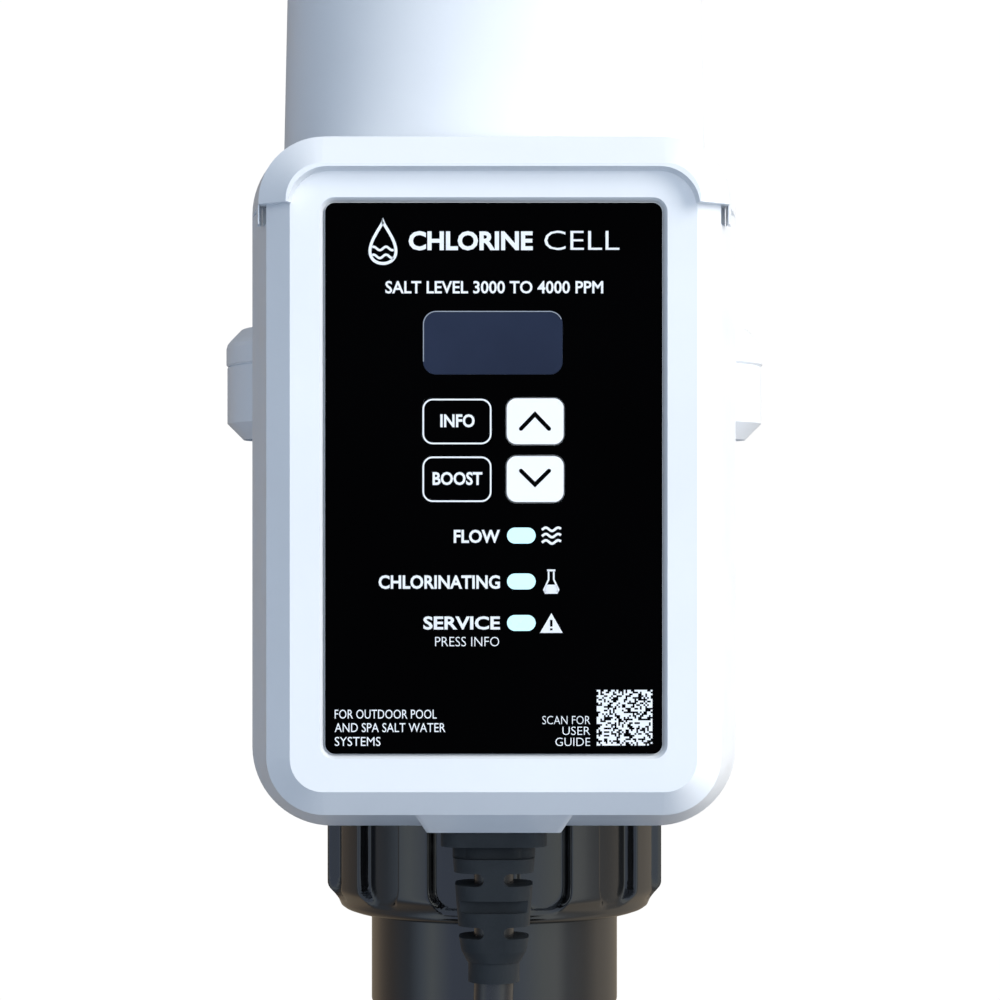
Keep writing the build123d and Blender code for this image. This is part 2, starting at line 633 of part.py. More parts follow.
BOARD_POST_X = CELL_R - 24.0
DRIVER_BACK = CELL_R + 10.0
DRIVER_LOW = PROBE_Z - 42.0
DRIVER_HIGH = SEAM_Z - LOWER_FLANGE_H - 8.0
EAR_SPOTS = [(s * EAR_X, z) for s in (-1, 1) for z in (LOWER_EAR_Z, UPPER_EAR_Z)]
DRIVER_POSTS = [(s * BOARD_POST_X, z) for s in (-1, 1) for z in (DRIVER_LOW + 6, DRIVER_HIGH - 6)]
with BuildPart() as box_back_shell:
    extrude(box_outline(0, PARTING), amount=BOX_BACK - PARTING, taper=BACK_DRAFT)
    inner_depth = BOX_BACK + BOX_WALL - PARTING
    extrude(box_outline(BOX_WALL, PARTING), amount=inner_depth, taper=BACK_DRAFT, mode=Mode.SUBTRACT)
    add(saddle.part)
    add(saddle_front.part)
    with BuildSketch(Plane.XZ.offset(BOX_BACK + 1)):
        with Locations(*COVER_SCREWS):
            Circle(4.6)
    extrude(amount=PARTING - GASKET_T - BOX_BACK - 1)
    with BuildSketch(Plane.XZ.offset(BOX_BACK + 1)):
        with Locations(*EAR_SPOTS):
            Circle(4.4)
    extrude(amount=5)
    with BuildSketch(Plane.XZ.offset(BOX_BACK)):
        with Locations(*DRIVER_POSTS):
            Circle(3.2)
    extrude(amount=DRIVER_BACK - BOX_BACK)
    add(cell_space.part, mode=Mode.SUBTRACT)
    # seat for the gasket just inside the rim
    extrude(gasket_outline(0), amount=GASKET_T, mode=Mode.SUBTRACT)
    front_holes(COVER_SCREWS, 1.9, BOX_BACK - 1, 30)
    front_holes(COVER_SCREWS, 3.6, BOX_BACK - 1, 4)
    front_holes(EAR_SPOTS, 1.8, BOX_BACK - 1, 12)
    front_holes([(0, FLOW_Z)], FLOW_STEM_R + HOLE_GAP, 0, PARTING + 10)
    front_holes([(PROBE_X, PROBE_Z)], PROBE_R + HOLE_GAP, 0, PARTING + 10)
    front_holes(POST_SPOTS, POST_SEAL_R + HOLE_GAP, 0, PARTING + 10)
box_back_shell.part.label = "box_back_shell"
export_step(box_back_shell.part, "parts/box_back_shell.step")

with BuildPart() as box_gasket:
    extrude(gasket_outline(0.05), amount=GASKET_T)
box_gasket.part.label = "box_gasket"
export_step(box_gasket.part, "parts/box_gasket.step")


# ---------------------------------------------------------------- panel layout

WINDOW = (-0.2, PANEL_Z + 34.3, 35.3, 16.1)  # centre x, centre z, width, height
KEY_ROWS = (PANEL_Z + 14.4, PANEL_Z - 0.2)
WIDE_KEY = (-9.2, 17.6)  # centre x, width
NARROW_KEY = (10.5, 14.4)
KEY_SPOTS = {
    "info_key": (WIDE_KEY[0], KEY_ROWS[0], WIDE_KEY[1]),
    "boost_key": (WIDE_KEY[0], KEY_ROWS[1], WIDE_KEY[1]),
    "up_key": (NARROW_KEY[0], KEY_ROWS[0], NARROW_KEY[1]),
    "down_key": (NARROW_KEY[0], KEY_ROWS[1], NARROW_KEY[1]),
}
KEY_CORNER = 2.5
LIGHT_X = 7.0
LIGHT_ROWS = (PANEL_Z - 14.5, PANEL_Z - 26.1, PANEL_Z - 36.6)
LIGHT_SIZE = (7.2, 4.0)
BOARD_POSTS = [(s * (BOX_W / 2 - 22), PANEL_Z + r) for s in (-1, 1) for r in (-52, 60)]


def key_holes(depth, length, gap):
    """Cuts the four key openings, larger than the keys by gap all round."""
    for x, z, width in KEY_SPOTS.values():
        with BuildSketch(Plane.XZ.offset(depth)) as opening:
            with Locations((x, z)):
                RectangleRounded(width + 2 * gap, KEY_H + 2 * gap, KEY_CORNER + gap)
        extrude(opening.sketch, amount=length, mode=Mode.SUBTRACT)


# ---------------------------------------------------------------- box cover with its hood

HOOD_CHAMFER = 7.4
HOOD_DRAFT = 6.8
HOOD_FRONT = FACE + HOOD_RISE
HOOD_SIDE = HOOD_FRONT - PARTING - HOOD_CHAMFER
HOOD_SIDE_IN = HOOD_SIDE * tan(radians(HOOD_DRAFT))
HOOD_IN = HOOD_SIDE_IN + HOOD_CHAMFER
HOOD_LIP = 0.3
HOOD_TOP_LIP = 0.8
HOOD_WALL_DRAFT = 10.0
TAB_L = 4.7  # tab under each end of the hood, with a pocket inside it
TAB_BACK = FACE - 15.0
POCKET_W = 1.85
OUTLET_W = 34.9
OUTLET_FOOT = CABLE_DEPTH + 11.6  # depth that the pad's foot reaches
OUTLET_Z = BOX_Z - BOX_H / 2 + 0.55
PAD_H = 5.8
PAD_FLARE = 2.9  # how far each end of the pad leans out on its way up
GLAND_W = 20.4
GLAND_L = 16.4

with BuildPart() as hood:
    extrude(box_outline(0, PARTING), amount=HOOD_SIDE, taper=HOOD_DRAFT)
    extrude(box_outline(HOOD_SIDE_IN, PARTING + HOOD_SIDE), amount=HOOD_CHAMFER, taper=45)
    with BuildSketch(Plane.XZ.offset(HOOD_FRONT)):
        with Locations((0, BOX_Z)):
            wide = BOX_W - 2 * (HOOD_IN + HOOD_LIP)
            tall = BOX_H - 2 * (HOOD_IN + HOOD_TOP_LIP)
            RectangleRounded(wide, tall, BOX_CORNER - HOOD_IN + 1.2)
    extrude(amount=-HOOD_RISE, taper=HOOD_WALL_DRAFT, mode=Mode.SUBTRACT)
    with Locations((0, -FACE, HOOD_END_Z + BOX_H / 2)):
        Box(2 * BOX_W, 4 * FACE, BOX_H, mode=Mode.INTERSECT)

# short tabs that carry the front of the hood's side walls a little lower
with BuildPart() as hood_tabs:
    extrude(box_outline(0, PARTING), amount=SIDE_DEPTH, taper=HOOD_DRAFT)
    with Locations((0, -TAB_BACK - FACE / 2, HOOD_END_Z - TAB_L / 2 + 0.5)):
        Box(2 * BOX_W, FACE, TAB_L + 1, mode=Mode.INTERSECT)


def pad_level(rise, front, flare):
    """Sketches the outlet pad's outline at a rise above its foot, reaching forwards to a depth."""
    back = PARTING + 0.5
    with BuildSketch(Plane.XY.offset(OUTLET_Z + rise)) as level:
        with Locations((0, -(back + front) / 2)):
            RectangleRounded(OUTLET_W + 2 * flare, front - back, 1.5)
    return level.sketch


# pad under the box where the cable comes out: its front leans forward to the face's chamfer
with BuildPart() as outlet_pad:
    loft([pad_level(0, OUTLET_FOOT, 0), pad_level(PAD_H, PARTING + SIDE_DEPTH, PAD_FLARE)], ruled=True)

with BuildPart() as box_cover:
    extrude(box_outline(0, PARTING), amount=SIDE_DEPTH, taper=BOX_DRAFT)
    extrude(box_outline(SIDE_IN, PARTING + SIDE_DEPTH), amount=EDGE_CHAMFER, taper=45)
    add(hood.part)
    add(hood_tabs.part)
    add(outlet_pad.part)
    # inside
    straight = SIDE_DEPTH - 2
    extrude(box_outline(BOX_WALL, PARTING), amount=straight, taper=BOX_DRAFT, mode=Mode.SUBTRACT)
    in_by = BOX_WALL + straight * tan(radians(BOX_DRAFT))
    slanted = INNER_FACE - PARTING - straight
    extrude(box_outline(in_by, PARTING + straight), amount=slanted, taper=45, mode=Mode.SUBTRACT)
    # screw bosses and board posts
    with BuildSketch(Plane.XZ.offset(PARTING)):
        with Locations(*COVER_SCREWS):
            Circle(4.2)
    extrude(amount=SIDE_DEPTH + 0.5)
    with BuildSketch(Plane.XZ.offset(BOARD_FRONT)):
        with Locations(*BOARD_POSTS):
            Circle(3.2)
    extrude(amount=INNER_FACE + 0.5 - BOARD_FRONT)
    front_holes(COVER_SCREWS, 1.55, PARTING, 15)
    front_holes(BOARD_POSTS, 1.25, BOARD_FRONT, 8)
    # recess for the overlay, its wall leaning outwards
    with BuildSketch(Plane.XZ.offset(OVERLAY_BACK)):
        with Locations((0, PANEL_Z)):
            RectangleRounded(PANEL_W + 0.4, PANEL_H + 0.4, 2.6)
    extrude(amount=RECESS + 0.02, taper=-35, mode=Mode.SUBTRACT)
    # openings behind the overlay
    with BuildSketch(Plane.XZ.offset(INNER_FACE)):
        with Locations(WINDOW[:2]):
            Rectangle(WINDOW[2] - 3, WINDOW[3] - 3)
        with Locations(*[(LIGHT_X, z) for z in LIGHT_ROWS]):
            Circle(1.8)
    extrude(amount=RECESS + 3, mode=Mode.SUBTRACT)
    key_holes(INNER_FACE - 1, RECESS + 4, KEY_GAP)
    # opening for the strain relief
    with BuildSketch(Plane.XY.offset(OUTLET_Z - 1)):
        with Locations((0, -CABLE_DEPTH)):
            RectangleRounded(GLAND_W, GLAND_L, 3)
    extrude(amount=14, mode=Mode.SUBTRACT)
    # pockets behind the hood's tabs, open to the front
    for side in (-1, 1):
        pocket_x = side * (FACE_W / 2 + EDGE_CHAMFER + POCKET_W / 2)
        with Locations((pocket_x, -TAB_BACK - 10, HOOD_END_Z - TAB_L / 2)):
            Box(POCKET_W, 20, TAB_L, mode=Mode.SUBTRACT)
box_cover.part.label = "box_cover"
export_step(box_cover.part, "parts/box_cover.step")


# ---------------------------------------------------------------- box screws

with BuildPart() as cover_screws:
    with BuildSketch(Plane.XZ.offset(BOX_BACK + 0.4)):
        with Locations(*COVER_SCREWS):
            Circle(3.3)
            Rectangle(3.2, 0.8, mode=Mode.SUBTRACT)
            Rectangle(0.8, 3.2, mode=Mode.SUBTRACT)
    extrude(amount=1.8)
    with BuildSketch(Plane.XZ.offset(BOX_BACK + 1.6)):
        with Locations(*COVER_SCREWS):
            Circle(1.5)
    extrude(amount=PARTING + 12 - BOX_BACK - 1.6)
    with BuildSketch(Plane.XZ.offset(BOX_BACK + 1.2)):
        with Locations(*COVER_SCREWS):
            Circle(3.3)
    extrude(amount=1.6)
cover_screws.part.label = "cover_screws"
export_step(cover_screws.part, "parts/cover_screws.step")

with BuildPart() as mount_screws:
    with BuildSketch(Plane.XZ.offset(BOX_BACK + 8.2)):
        with Locations(*EAR_SPOTS):
            Circle(3.2)
            RegularPolygon(1.5, 6, mode=Mode.SUBTRACT)
    extrude(amount=1.6)
    with BuildSketch(Plane.XZ.offset(BOX_BACK + 6.1)):
        with Locations(*EAR_SPOTS):
            Circle(3.2)
    extrude(amount=2.1)
    with BuildSketch(Plane.XZ.offset(BOX_BACK - EAR_HOLE + 0.5)):
        with Locations(*EAR_SPOTS):
            Circle(1.7)
    extrude(amount=EAR_HOLE + 6.6)
mount_screws.part.label = "mount_screws"
export_step(mount_screws.part, "parts/mount_screws.step")


# ---------------------------------------------------------------- panel overlay, window and lights

with BuildPart() as panel_overlay:
    with BuildSketch(Plane.XZ.offset(OVERLAY_BACK + 0.02)):
        with Locations((0, PANEL_Z)):
            RectangleRounded(PANEL_W, PANEL_H, 2.5)
    extrude(amount=PANEL_T - 0.02)
    with BuildSketch(Plane.XZ.offset(OVERLAY_BACK)):
        with Locations(WINDOW[:2]):
            RectangleRounded(WINDOW[2] + 0.1, WINDOW[3] + 0.1, 3.3)
        with Locations(*[(LIGHT_X, z) for z in LIGHT_ROWS]):
            SlotOverall(LIGHT_SIZE[0] + 0.1, LIGHT_SIZE[1] + 0.1)
    extrude(amount=PANEL_T, mode=Mode.SUBTRACT)
    key_holes(OVERLAY_BACK, PANEL_T, KEY_GAP)
panel_overlay.part.label = "panel_overlay"
export_step(panel_overlay.part, "parts/panel_overlay.step")

with BuildPart() as display_window:
    with BuildSketch(Plane.XZ.offset(OVERLAY_BACK + 0.02)):
        with Locations(WINDOW[:2]):
            RectangleRounded(WINDOW[2], WINDOW[3], 3.25)
    extrude(amount=PANEL_T - 0.12)
display_window.part.label = "display_window"
export_step(display_window.part, "parts/display_window.step")

with BuildPart() as status_lenses:
    with BuildSketch(Plane.XZ.offset(OVERLAY_BACK + 0.02)):
        with Locations(*[(LIGHT_X, z) for z in LIGHT_ROWS]):
            SlotOverall(*LIGHT_SIZE)
    extrude(amount=PANEL_T - 0.02)
    with BuildSketch(Plane.XZ.offset(INNER_FACE - 4)):
        with Locations(*[(LIGHT_X, z) for z in LIGHT_ROWS]):
            Circle(1.7)
    extrude(amount=OVERLAY_BACK - INNER_FACE + 4.5)
status_lenses.part.label = "status_lenses"
export_step(status_lenses.part, "parts/status_lenses.step")


# ---------------------------------------------------------------- keys

SWITCH_H = 3.5
STEM_TIP = BOARD_FRONT + SWITCH_H + KEY_TRAVEL + 0.1


def build_key(spot):
    """Makes one key: a cap flush with the overlay, a flange behind the cover and a stem."""
    x, z, width = spot
    with BuildPart() as key:
        with BuildSketch(Plane.XZ.offset(INNER_FACE - 1)):
            with Locations((x, z)):
                RectangleRounded(width, KEY_H, KEY_CORNER)
        extrude(amount=OVERLAY_FRONT - INNER_FACE + 1.1)
        with BuildSketch(Plane.XZ.offset(INNER_FACE - 1.2)):
            with Locations((x, z)):
                RectangleRounded(width + 1.4, KEY_H + 1.4, KEY_CORNER + 0.7)
        extrude(amount=1.0)
        with BuildSketch(Plane.XZ.offset(STEM_TIP)):
            with Locations((x, z)):
                Circle(2.5)
        extrude(amount=INNER_FACE - 1 - STEM_TIP)
    return key


info_key = build_key(KEY_SPOTS["info_key"])
info_key.part.label = "info_key"
export_step(info_key.part, "parts/info_key.step")
boost_key = build_key(KEY_SPOTS["boost_key"])
boost_key.part.label = "boost_key"
export_step(boost_key.part, "parts/boost_key.step")
up_key = build_key(KEY_SPOTS["up_key"])
up_key.part.label = "up_key"
export_step(up_key.part, "parts/up_key.step")
down_key = build_key(KEY_SPOTS["down_key"])
down_key.part.label = "down_key"
export_step(down_key.part, "parts/down_key.step")


# ---------------------------------------------------------------- control board and what it carries

with BuildPart() as control_board:
    with BuildSketch(Plane.XZ.offset(BOARD_BACK)):
        with Locations((0, PANEL_Z + 4)):
            RectangleRounded(BOX_W - 36, 124, 2)
        with Locations(*BOARD_POSTS):
            Circle(1.3, mode=Mode.SUBTRACT)
    extrude(amount=BOARD_T)
control_board.part.label = "control_board"
export_step(control_board.part, "parts/control_board.step")

with BuildPart() as board_screws:
    with BuildSketch(Plane.XZ.offset(BOARD_BACK - 1.6)):
        with Locations(*BOARD_POSTS):
            Circle(2.6)
    extrude(amount=1.6)
    with BuildSketch(Plane.XZ.offset(BOARD_BACK - 1)):
        with Locations(*BOARD_POSTS):
            Circle(1.2)
    extrude(amount=8)
board_screws.part.label = "board_screws"
export_step(board_screws.part, "parts/board_screws.step")

with BuildPart() as display_module:
    with BuildSketch(Plane.XZ.offset(BOARD_FRONT)):
        with Locations(WINDOW[:2]):
            RectangleRounded(WINDOW[2] + 7, WINDOW[3] + 6, 1)
    extrude(amount=INNER_FACE - 0.3 - BOARD_FRONT)
display_module.part.label = "display_module"
export_step(display_module.part, "parts/display_module.step")

with BuildPart() as key_switches:
    for x, z, width in KEY_SPOTS.values():
        with BuildSketch(Plane.XZ.offset(BOARD_FRONT)):
            with Locations((x, z)):
                RectangleRounded(6, 6, 0.6)
        extrude(amount=SWITCH_H - 1)
        with BuildSketch(Plane.XZ.offset(BOARD_FRONT + SWITCH_H - 1)):
            with Locations((x, z)):
                Circle(1.7)
        extrude(amount=1)
key_switches.part.label = "key_switches"
export_step(key_switches.part, "parts/key_switches.step")

with BuildPart() as light_emitters:
    with BuildSketch(Plane.XZ.offset(BOARD_FRONT)):
        with Locations(*[(LIGHT_X, z) for z in LIGHT_ROWS]):
            Rectangle(3.2, 2.8)
    extrude(amount=1.8)
light_emitters.part.label = "light_emitters"
export_step(light_emitters.part, "parts/light_emitters.step")


# ---------------------------------------------------------------- driver board and power parts

DRIVER_FRONT = DRIVER_BACK + BOARD_T
DRIVER_Z = (DRIVER_LOW + DRIVER_HIGH) / 2
with BuildPart() as driver_board:
    with BuildSketch(Plane.XZ.offset(DRIVER_BACK)):
        with Locations((0, DRIVER_Z)):
            RectangleRounded(2 * BOARD_POST_X + 10, DRIVER_HIGH - DRIVER_LOW, 2)
    extrude(amount=BOARD_T)
driver_board.part.label = "driver_board"
export_step(driver_board.part, "parts/driver_board.step")

with BuildPart() as relays:
    with BuildSketch(Plane.XZ.offset(DRIVER_FRONT)):
        with Locations((-21.4, DRIVER_Z + 8), (-21.4, DRIVER_Z - 14)):
            Rectangle(15, 18)
    extrude(amount=12)
relays.part.label = "relays"
export_step(relays.part, "parts/relays.step")

with BuildPart() as capacitors:
    with BuildSketch(Plane.XZ.offset(DRIVER_FRONT)):
        with Locations((-6, DRIVER_Z + 18), (-6, DRIVER_Z + 4), (-6, DRIVER_Z - 10)):
            Circle(5)
    extrude(amount=12.5)
    fillet(capacitors.edges().group_by(Axis.Y)[0], radius=0.6)
capacitors.part.label = "capacitors"
export_step(capacitors.part, "parts/capacitors.step")

with BuildPart() as heat_sink:
    with BuildSketch(Plane.XZ.offset(DRIVER_FRONT)):
        with Locations((14, DRIVER_Z - 2)):
            Rectangle(22, 34)
    extrude(amount=3)
    with BuildSketch(Plane.XZ.offset(DRIVER_FRONT + 3)):
        with Locations((14, DRIVER_Z - 2)):
            with GridLocations(4.8, 1, 5, 1):
                Rectangle(1.4, 34)
    extrude(amount=8)
heat_sink.part.label = "heat_sink"
export_step(heat_sink.part, "parts/heat_sink.step")

TERMINAL_X = CELL_R - 26.0
TERMINAL_TOP = DRIVER_HIGH - 14.0
with BuildPart() as terminal_blocks:
    with BuildSketch(Plane.XZ.offset(DRIVER_FRONT)):
        with Locations((TERMINAL_X, TERMINAL_TOP - 6), (-TERMINAL_X, TERMINAL_TOP - 6)):
            Rectangle(9, 12)
        with Locations((0, DRIVER_LOW + 7)):
            Rectangle(24, 10)
    extrude(amount=9)
terminal_blocks.part.label = "terminal_blocks"
export_step(terminal_blocks.part, "parts/terminal_blocks.step")

# Each electrode lead hangs from the ring lug on its post, goes down outside the flange's housing
# and into the terminal block. The left one is the right one's mirror image.
LEAD_R = 1.6
LEAD_DEPTH = CELL_R + 12.0
LUG_DEPTH = POST_WALL + 0.3
with BuildPart() as electrode_leads:
    with BuildLine():
        FilletPolyline(
            (POST_X, -LEAD_DEPTH, POST_Z - 9),
            (POST_X, -LEAD_DEPTH, POST_Z - 13.5),
            (SCREW_X - 6, -LEAD_DEPTH, POST_Z - 20),
            (SCREW_X - 6, -LEAD_DEPTH, SEAM_Z - LOWER_FLANGE_H - 4),
            (TERMINAL_X, -LEAD_DEPTH - 3, TERMINAL_TOP + 10),
            (TERMINAL_X, -LEAD_DEPTH - 3, TERMINAL_TOP + 0.05),
            radius=3.2,
        )
    with BuildSketch(Plane(origin=(POST_X, -LEAD_DEPTH, POST_Z - 9), z_dir=(0, 0, -1))):
        Circle(LEAD_R)
    sweep()
    mirror(about=Plane.YZ)
electrode_leads.part.label = "electrode_leads"
export_step(electrode_leads.part, "parts/electrode_leads.step")

with BuildPart() as ring_lugs:
    with BuildSketch(Plane.XZ.offset(LUG_DEPTH)):
        for x, z in POST_SPOTS:
            with Locations((x, z)):
                Circle(5.6)
            with Locations((x, z - 6)):
                Rectangle(4.4, 6)
        with Locations(*POST_SPOTS):
            Circle(POST_R + 0.05, mode=Mode.SUBTRACT)
    extrude(amount=1.2)
    with BuildSketch(Plane.XZ.offset(LUG_DEPTH)):
        with Locations(*[(x, z - 7.4) for x, z in POST_SPOTS]):
            Rectangle(4.4, 3)
    extrude(amount=LEAD_DEPTH + LEAD_R + 0.6 - LUG_DEPTH)
ring_lugs.part.label = "ring_lugs"
export_step(ring_lugs.part, "parts/ring_lugs.step")


# ---------------------------------------------------------------- strain relief and cable entry

RELIEF_W = 27.6
RELIEF_L = 20.0
RELIEF_TOP = OUTLET_Z
SLOT_BRIDGE = 5.2
COLLAR_R = 6.7
RELIEF_TIP = RELIEF_TOP - 39.95
# heights of the relief's steps below its top face
FLANGE_END = 4.0
CORE_END = 7.3
SLOTS = ((11.0, 14.3), (25.0, 28.1))
WAIST = (18.15, 21.35)
TAPER_END = 34.6
CORE_HALF = 5.1  # half the depth of the web that the slots leave round the cable


def relief_width(drop):
    """Width of the relief's outline at a drop below its top face: it narrows steadily."""
    return 21.3 - 3.1 * (drop - CORE_END) / (SLOTS[1][1] - CORE_END)


def relief_level(drop, width, length, corner):
    """Sketches the relief's rounded outline at a drop below its top face."""
    with BuildSketch(Plane.XY.offset(RELIEF_TOP - drop)) as level:
        with Locations((0, -CABLE_DEPTH)):
            RectangleRounded(width, length, corner)
    return level.sketch


with BuildPart() as strain_relief:
    # neck through the box's wall and the flange inside it
    extrude(relief_level(0, GLAND_W - 0.2, GLAND_L - 0.2, 2.9), amount=8.0)
    extrude(relief_level(-8.0, GLAND_W + 4, GLAND_L + 3, 3), amount=3.0)
    # outer flange and the grooved core under it
    extrude(relief_level(FLANGE_END, RELIEF_W, RELIEF_L + 1, 5), amount=FLANGE_END)
    extrude(relief_level(CORE_END, RELIEF_W - 10.5, RELIEF_L - 7, 4), amount=CORE_END - FLANGE_END)
    extrude(relief_level(CORE_END, RELIEF_W - 6, RELIEF_L - 9, 4), amount=CORE_END - FLANGE_END)
    # tapered body, then its rounded end
    body_end = SLOTS[1][1]
    loft(
        [
            relief_level(CORE_END, relief_width(CORE_END), RELIEF_L - 1.4, 6),
            relief_level(body_end, relief_width(body_end), RELIEF_L - 3.2, 6),
        ]
    )
    loft(
        [
            relief_level(body_end, relief_width(body_end), RELIEF_L - 3.2, 6),
            relief_level(body_end + 3.6, relief_width(body_end) - 1.2, RELIEF_L - 4.2, 6.2),
            relief_level(TAPER_END, 2 * COLLAR_R + 0.8, 2 * COLLAR_R + 0.8, COLLAR_R + 0.3),
        ],
        ruled=True,
    )
    with BuildSketch(Plane.XY.offset(RELIEF_TIP)):
        with Locations((0, -CABLE_DEPTH)):
            Circle(COLLAR_R)
    extrude(amount=RELIEF_TOP - RELIEF_TIP - TAPER_END + 0.5)
    # slots with rounded inner ends, front and back, leave a thin bridge on the middle
    for high, low in SLOTS:
        slot_z = RELIEF_TOP - (high + low) / 2
        slot_x = (SLOT_BRIDGE + RELIEF_W) / 2
        for depth in (CABLE_DEPTH + CORE_HALF, CABLE_DEPTH - CORE_HALF - RELIEF_L):
            with BuildSketch(Plane.XZ.offset(depth)) as slots:
                with Locations((-slot_x, slot_z), (slot_x, slot_z)):
                    RectangleRounded(RELIEF_W, low - high, (low - high) / 2 - 0.05)
            extrude(slots.sketch, amount=RELIEF_L, mode=Mode.SUBTRACT)
    # the waist's groove runs right across at front and back
    waist_z = RELIEF_TOP - sum(WAIST) / 2
    for side in (-1, 1):
        with Locations((0, -CABLE_DEPTH + side * (CORE_HALF + 0.9 + RELIEF_L / 2), waist_z)):
            Box(2 * RELIEF_W, RELIEF_L, WAIST[1] - WAIST[0], mode=Mode.SUBTRACT)
    with BuildSketch(Plane.XY.offset(RELIEF_TIP - 1)):
        with Locations((0, -CABLE_DEPTH)):
            Circle(CABLE_R + 0.03)
    extrude(amount=70, mode=Mode.SUBTRACT)
strain_relief.part.label = "strain_relief"
export_step(strain_relief.part, "parts/strain_relief.step")

ENTRY_TOP = RELIEF_TOP + 16.0
with BuildPart() as cable_entry:
    with BuildSketch(Plane.XY.offset(RELIEF_TIP)):
        with Locations((0, -CABLE_DEPTH)):
            Circle(CABLE_R)
    extrude(amount=ENTRY_TOP - RELIEF_TIP)
cable_entry.part.label = "cable_entry"
export_step(cable_entry.part, "parts/cable_entry.step")

with BuildPart() as input_conductors:
    with BuildSketch(Plane.XY.offset(ENTRY_TOP)):
        with Locations(*[(x, -CABLE_DEPTH - 1) for x in (-3.2, 0, 3.2)]):
            Circle(1.2)
    extrude(amount=DRIVER_LOW + 2 - ENTRY_TOP)
input_conductors.part.label = "input_conductors"
export_step(input_conductors.part, "parts/input_conductors.step")


# ---------------------------------------------------------------- supply cable, coil and plug

# The cable hangs straight down out of the relief, swings left into the coil's outer front turn,
# and its last stretch hangs from the coil's left side with the plug on its end.
COIL_TURNS_WIDE = 3
COIL_MID_R = 67.0
COIL_X = 0.0
COIL_Z = -128.0
COIL_DEPTH = 75.0
COIL_HALF = COIL_TURNS_WIDE * CABLE_R
COIL_CORNER = 5.0
LEAD_ROUTE = [
    (0, -CABLE_DEPTH, RELIEF_TIP),
    (0, -75, -14.5),
    (-17.0, -79.5, -48.5),
    (-45.5, -84.8, -66.0),
]
TAIL_ROUTE = [
    (-76.4, -64.8, -120),
    (-80.0, -65.5, -148),
    (-79.2, -66.2, -172),
    (-79.2, -66.2, -194),
]


def route_radii(route):
    """Largest tidy bend at each corner: 0.45 of the shorter run, over the tangent of half the turn."""
    points = [Vector(*point) for point in route]
    radii = []
    for before, corner, after in zip(points, points[1:], points[2:]):
        shorter = min((corner - before).length, (after - corner).length)
        half_turn = radians((corner - before).get_angle(after - corner) / 2)
        radii.append(0.45 * shorter / tan(half_turn))
    return radii


def cable_tube(route):
    """Makes the cable along a route of straight runs joined by arcs."""
    radii = route_radii(route)
    print("bend radii", [round(radius) for radius in radii])
    with BuildPart() as tube:
        with BuildLine() as path:
            FilletPolyline(*route, radius=radii)
        start = path.line @ 0
        with BuildSketch(Plane(origin=start, z_dir=path.line % 0)):
            Circle(CABLE_R)
        sweep()
    section = pi * CABLE_R**2
    print("tube volume / section x length", tube.part.volume / (section * path.wire().length))
    return tube


cable = cable_tube(LEAD_ROUTE)
cable.part.label = "cable"
export_step(cable.part, "parts/cable.step")
cable_tail = cable_tube(TAIL_ROUTE)
cable_tail.part.label = "cable_tail"
export_step(cable_tail.part, "parts/cable_tail.step")

COIL_AXIS = Axis((COIL_X, -COIL_DEPTH, COIL_Z), (0, -1, 0))
with BuildPart() as cable_coil:
    with BuildSketch(Plane.XY.offset(COIL_Z)):
        with Locations((COIL_X + COIL_MID_R, -COIL_DEPTH)):
            RectangleRounded(2 * COIL_HALF, 2 * COIL_HALF, COIL_CORNER)
    revolve(axis=COIL_AXIS)
cable_coil.part.label = "cable_coil"
export_step(cable_coil.part, "parts/cable_coil.step")

TIE_T = 1.3
TIE_ANGLES = (62.0, 262.0)
TIE_ARC = 3.6
with BuildPart() as coil_ties:
    for angle in TIE_ANGLES:
        spoke = (cos(radians(angle)), 0, sin(radians(angle)))
        with BuildPart(mode=Mode.PRIVATE) as tie:
            centre = (COIL_X, -COIL_DEPTH, COIL_Z)
            across = Plane(origin=centre, x_dir=spoke, z_dir=(-spoke[2], 0, spoke[0]))
            with BuildSketch(across):
                with Locations((COIL_MID_R, 0)):
                    inner_w = 2 * COIL_HALF + 0.1
                    outer_w = inner_w + 2 * TIE_T
                    RectangleRounded(outer_w, outer_w, COIL_CORNER + TIE_T)
                    RectangleRounded(inner_w, inner_w, COIL_CORNER, mode=Mode.SUBTRACT)
                with Locations((COIL_MID_R + COIL_HALF + 0.05 + 2.9, 0)):
                    Rectangle(5.8, 6.4)
            revolve(axis=COIL_AXIS, revolution_arc=TIE_ARC)
        add(tie.part)
coil_ties.part.label = "coil_ties"
export_step(coil_ties.part, "parts/coil_ties.step")

PLUG_X, PLUG_Y, PLUG_Z = TAIL_ROUTE[-1]
PLUG_AXIS = Axis((PLUG_X, PLUG_Y, 0), (0, 0, 1))
BOOT_L = 20.0
PLUG_L = 34.0
PLUG_R = 11.5
RING_R = 15.0
RING_L = 17.0
CONTACTS = 4


def plug_ring_section(points):
    """Sketches a section beside the plug's axis from (radius, height) points."""
    beside = Plane(origin=(PLUG_X, PLUG_Y, PLUG_Z), x_dir=(1, 0, 0), z_dir=(0, -1, 0))
    with BuildSketch(beside) as section:
        Polygon(*points, align=None)
    return section.sketch


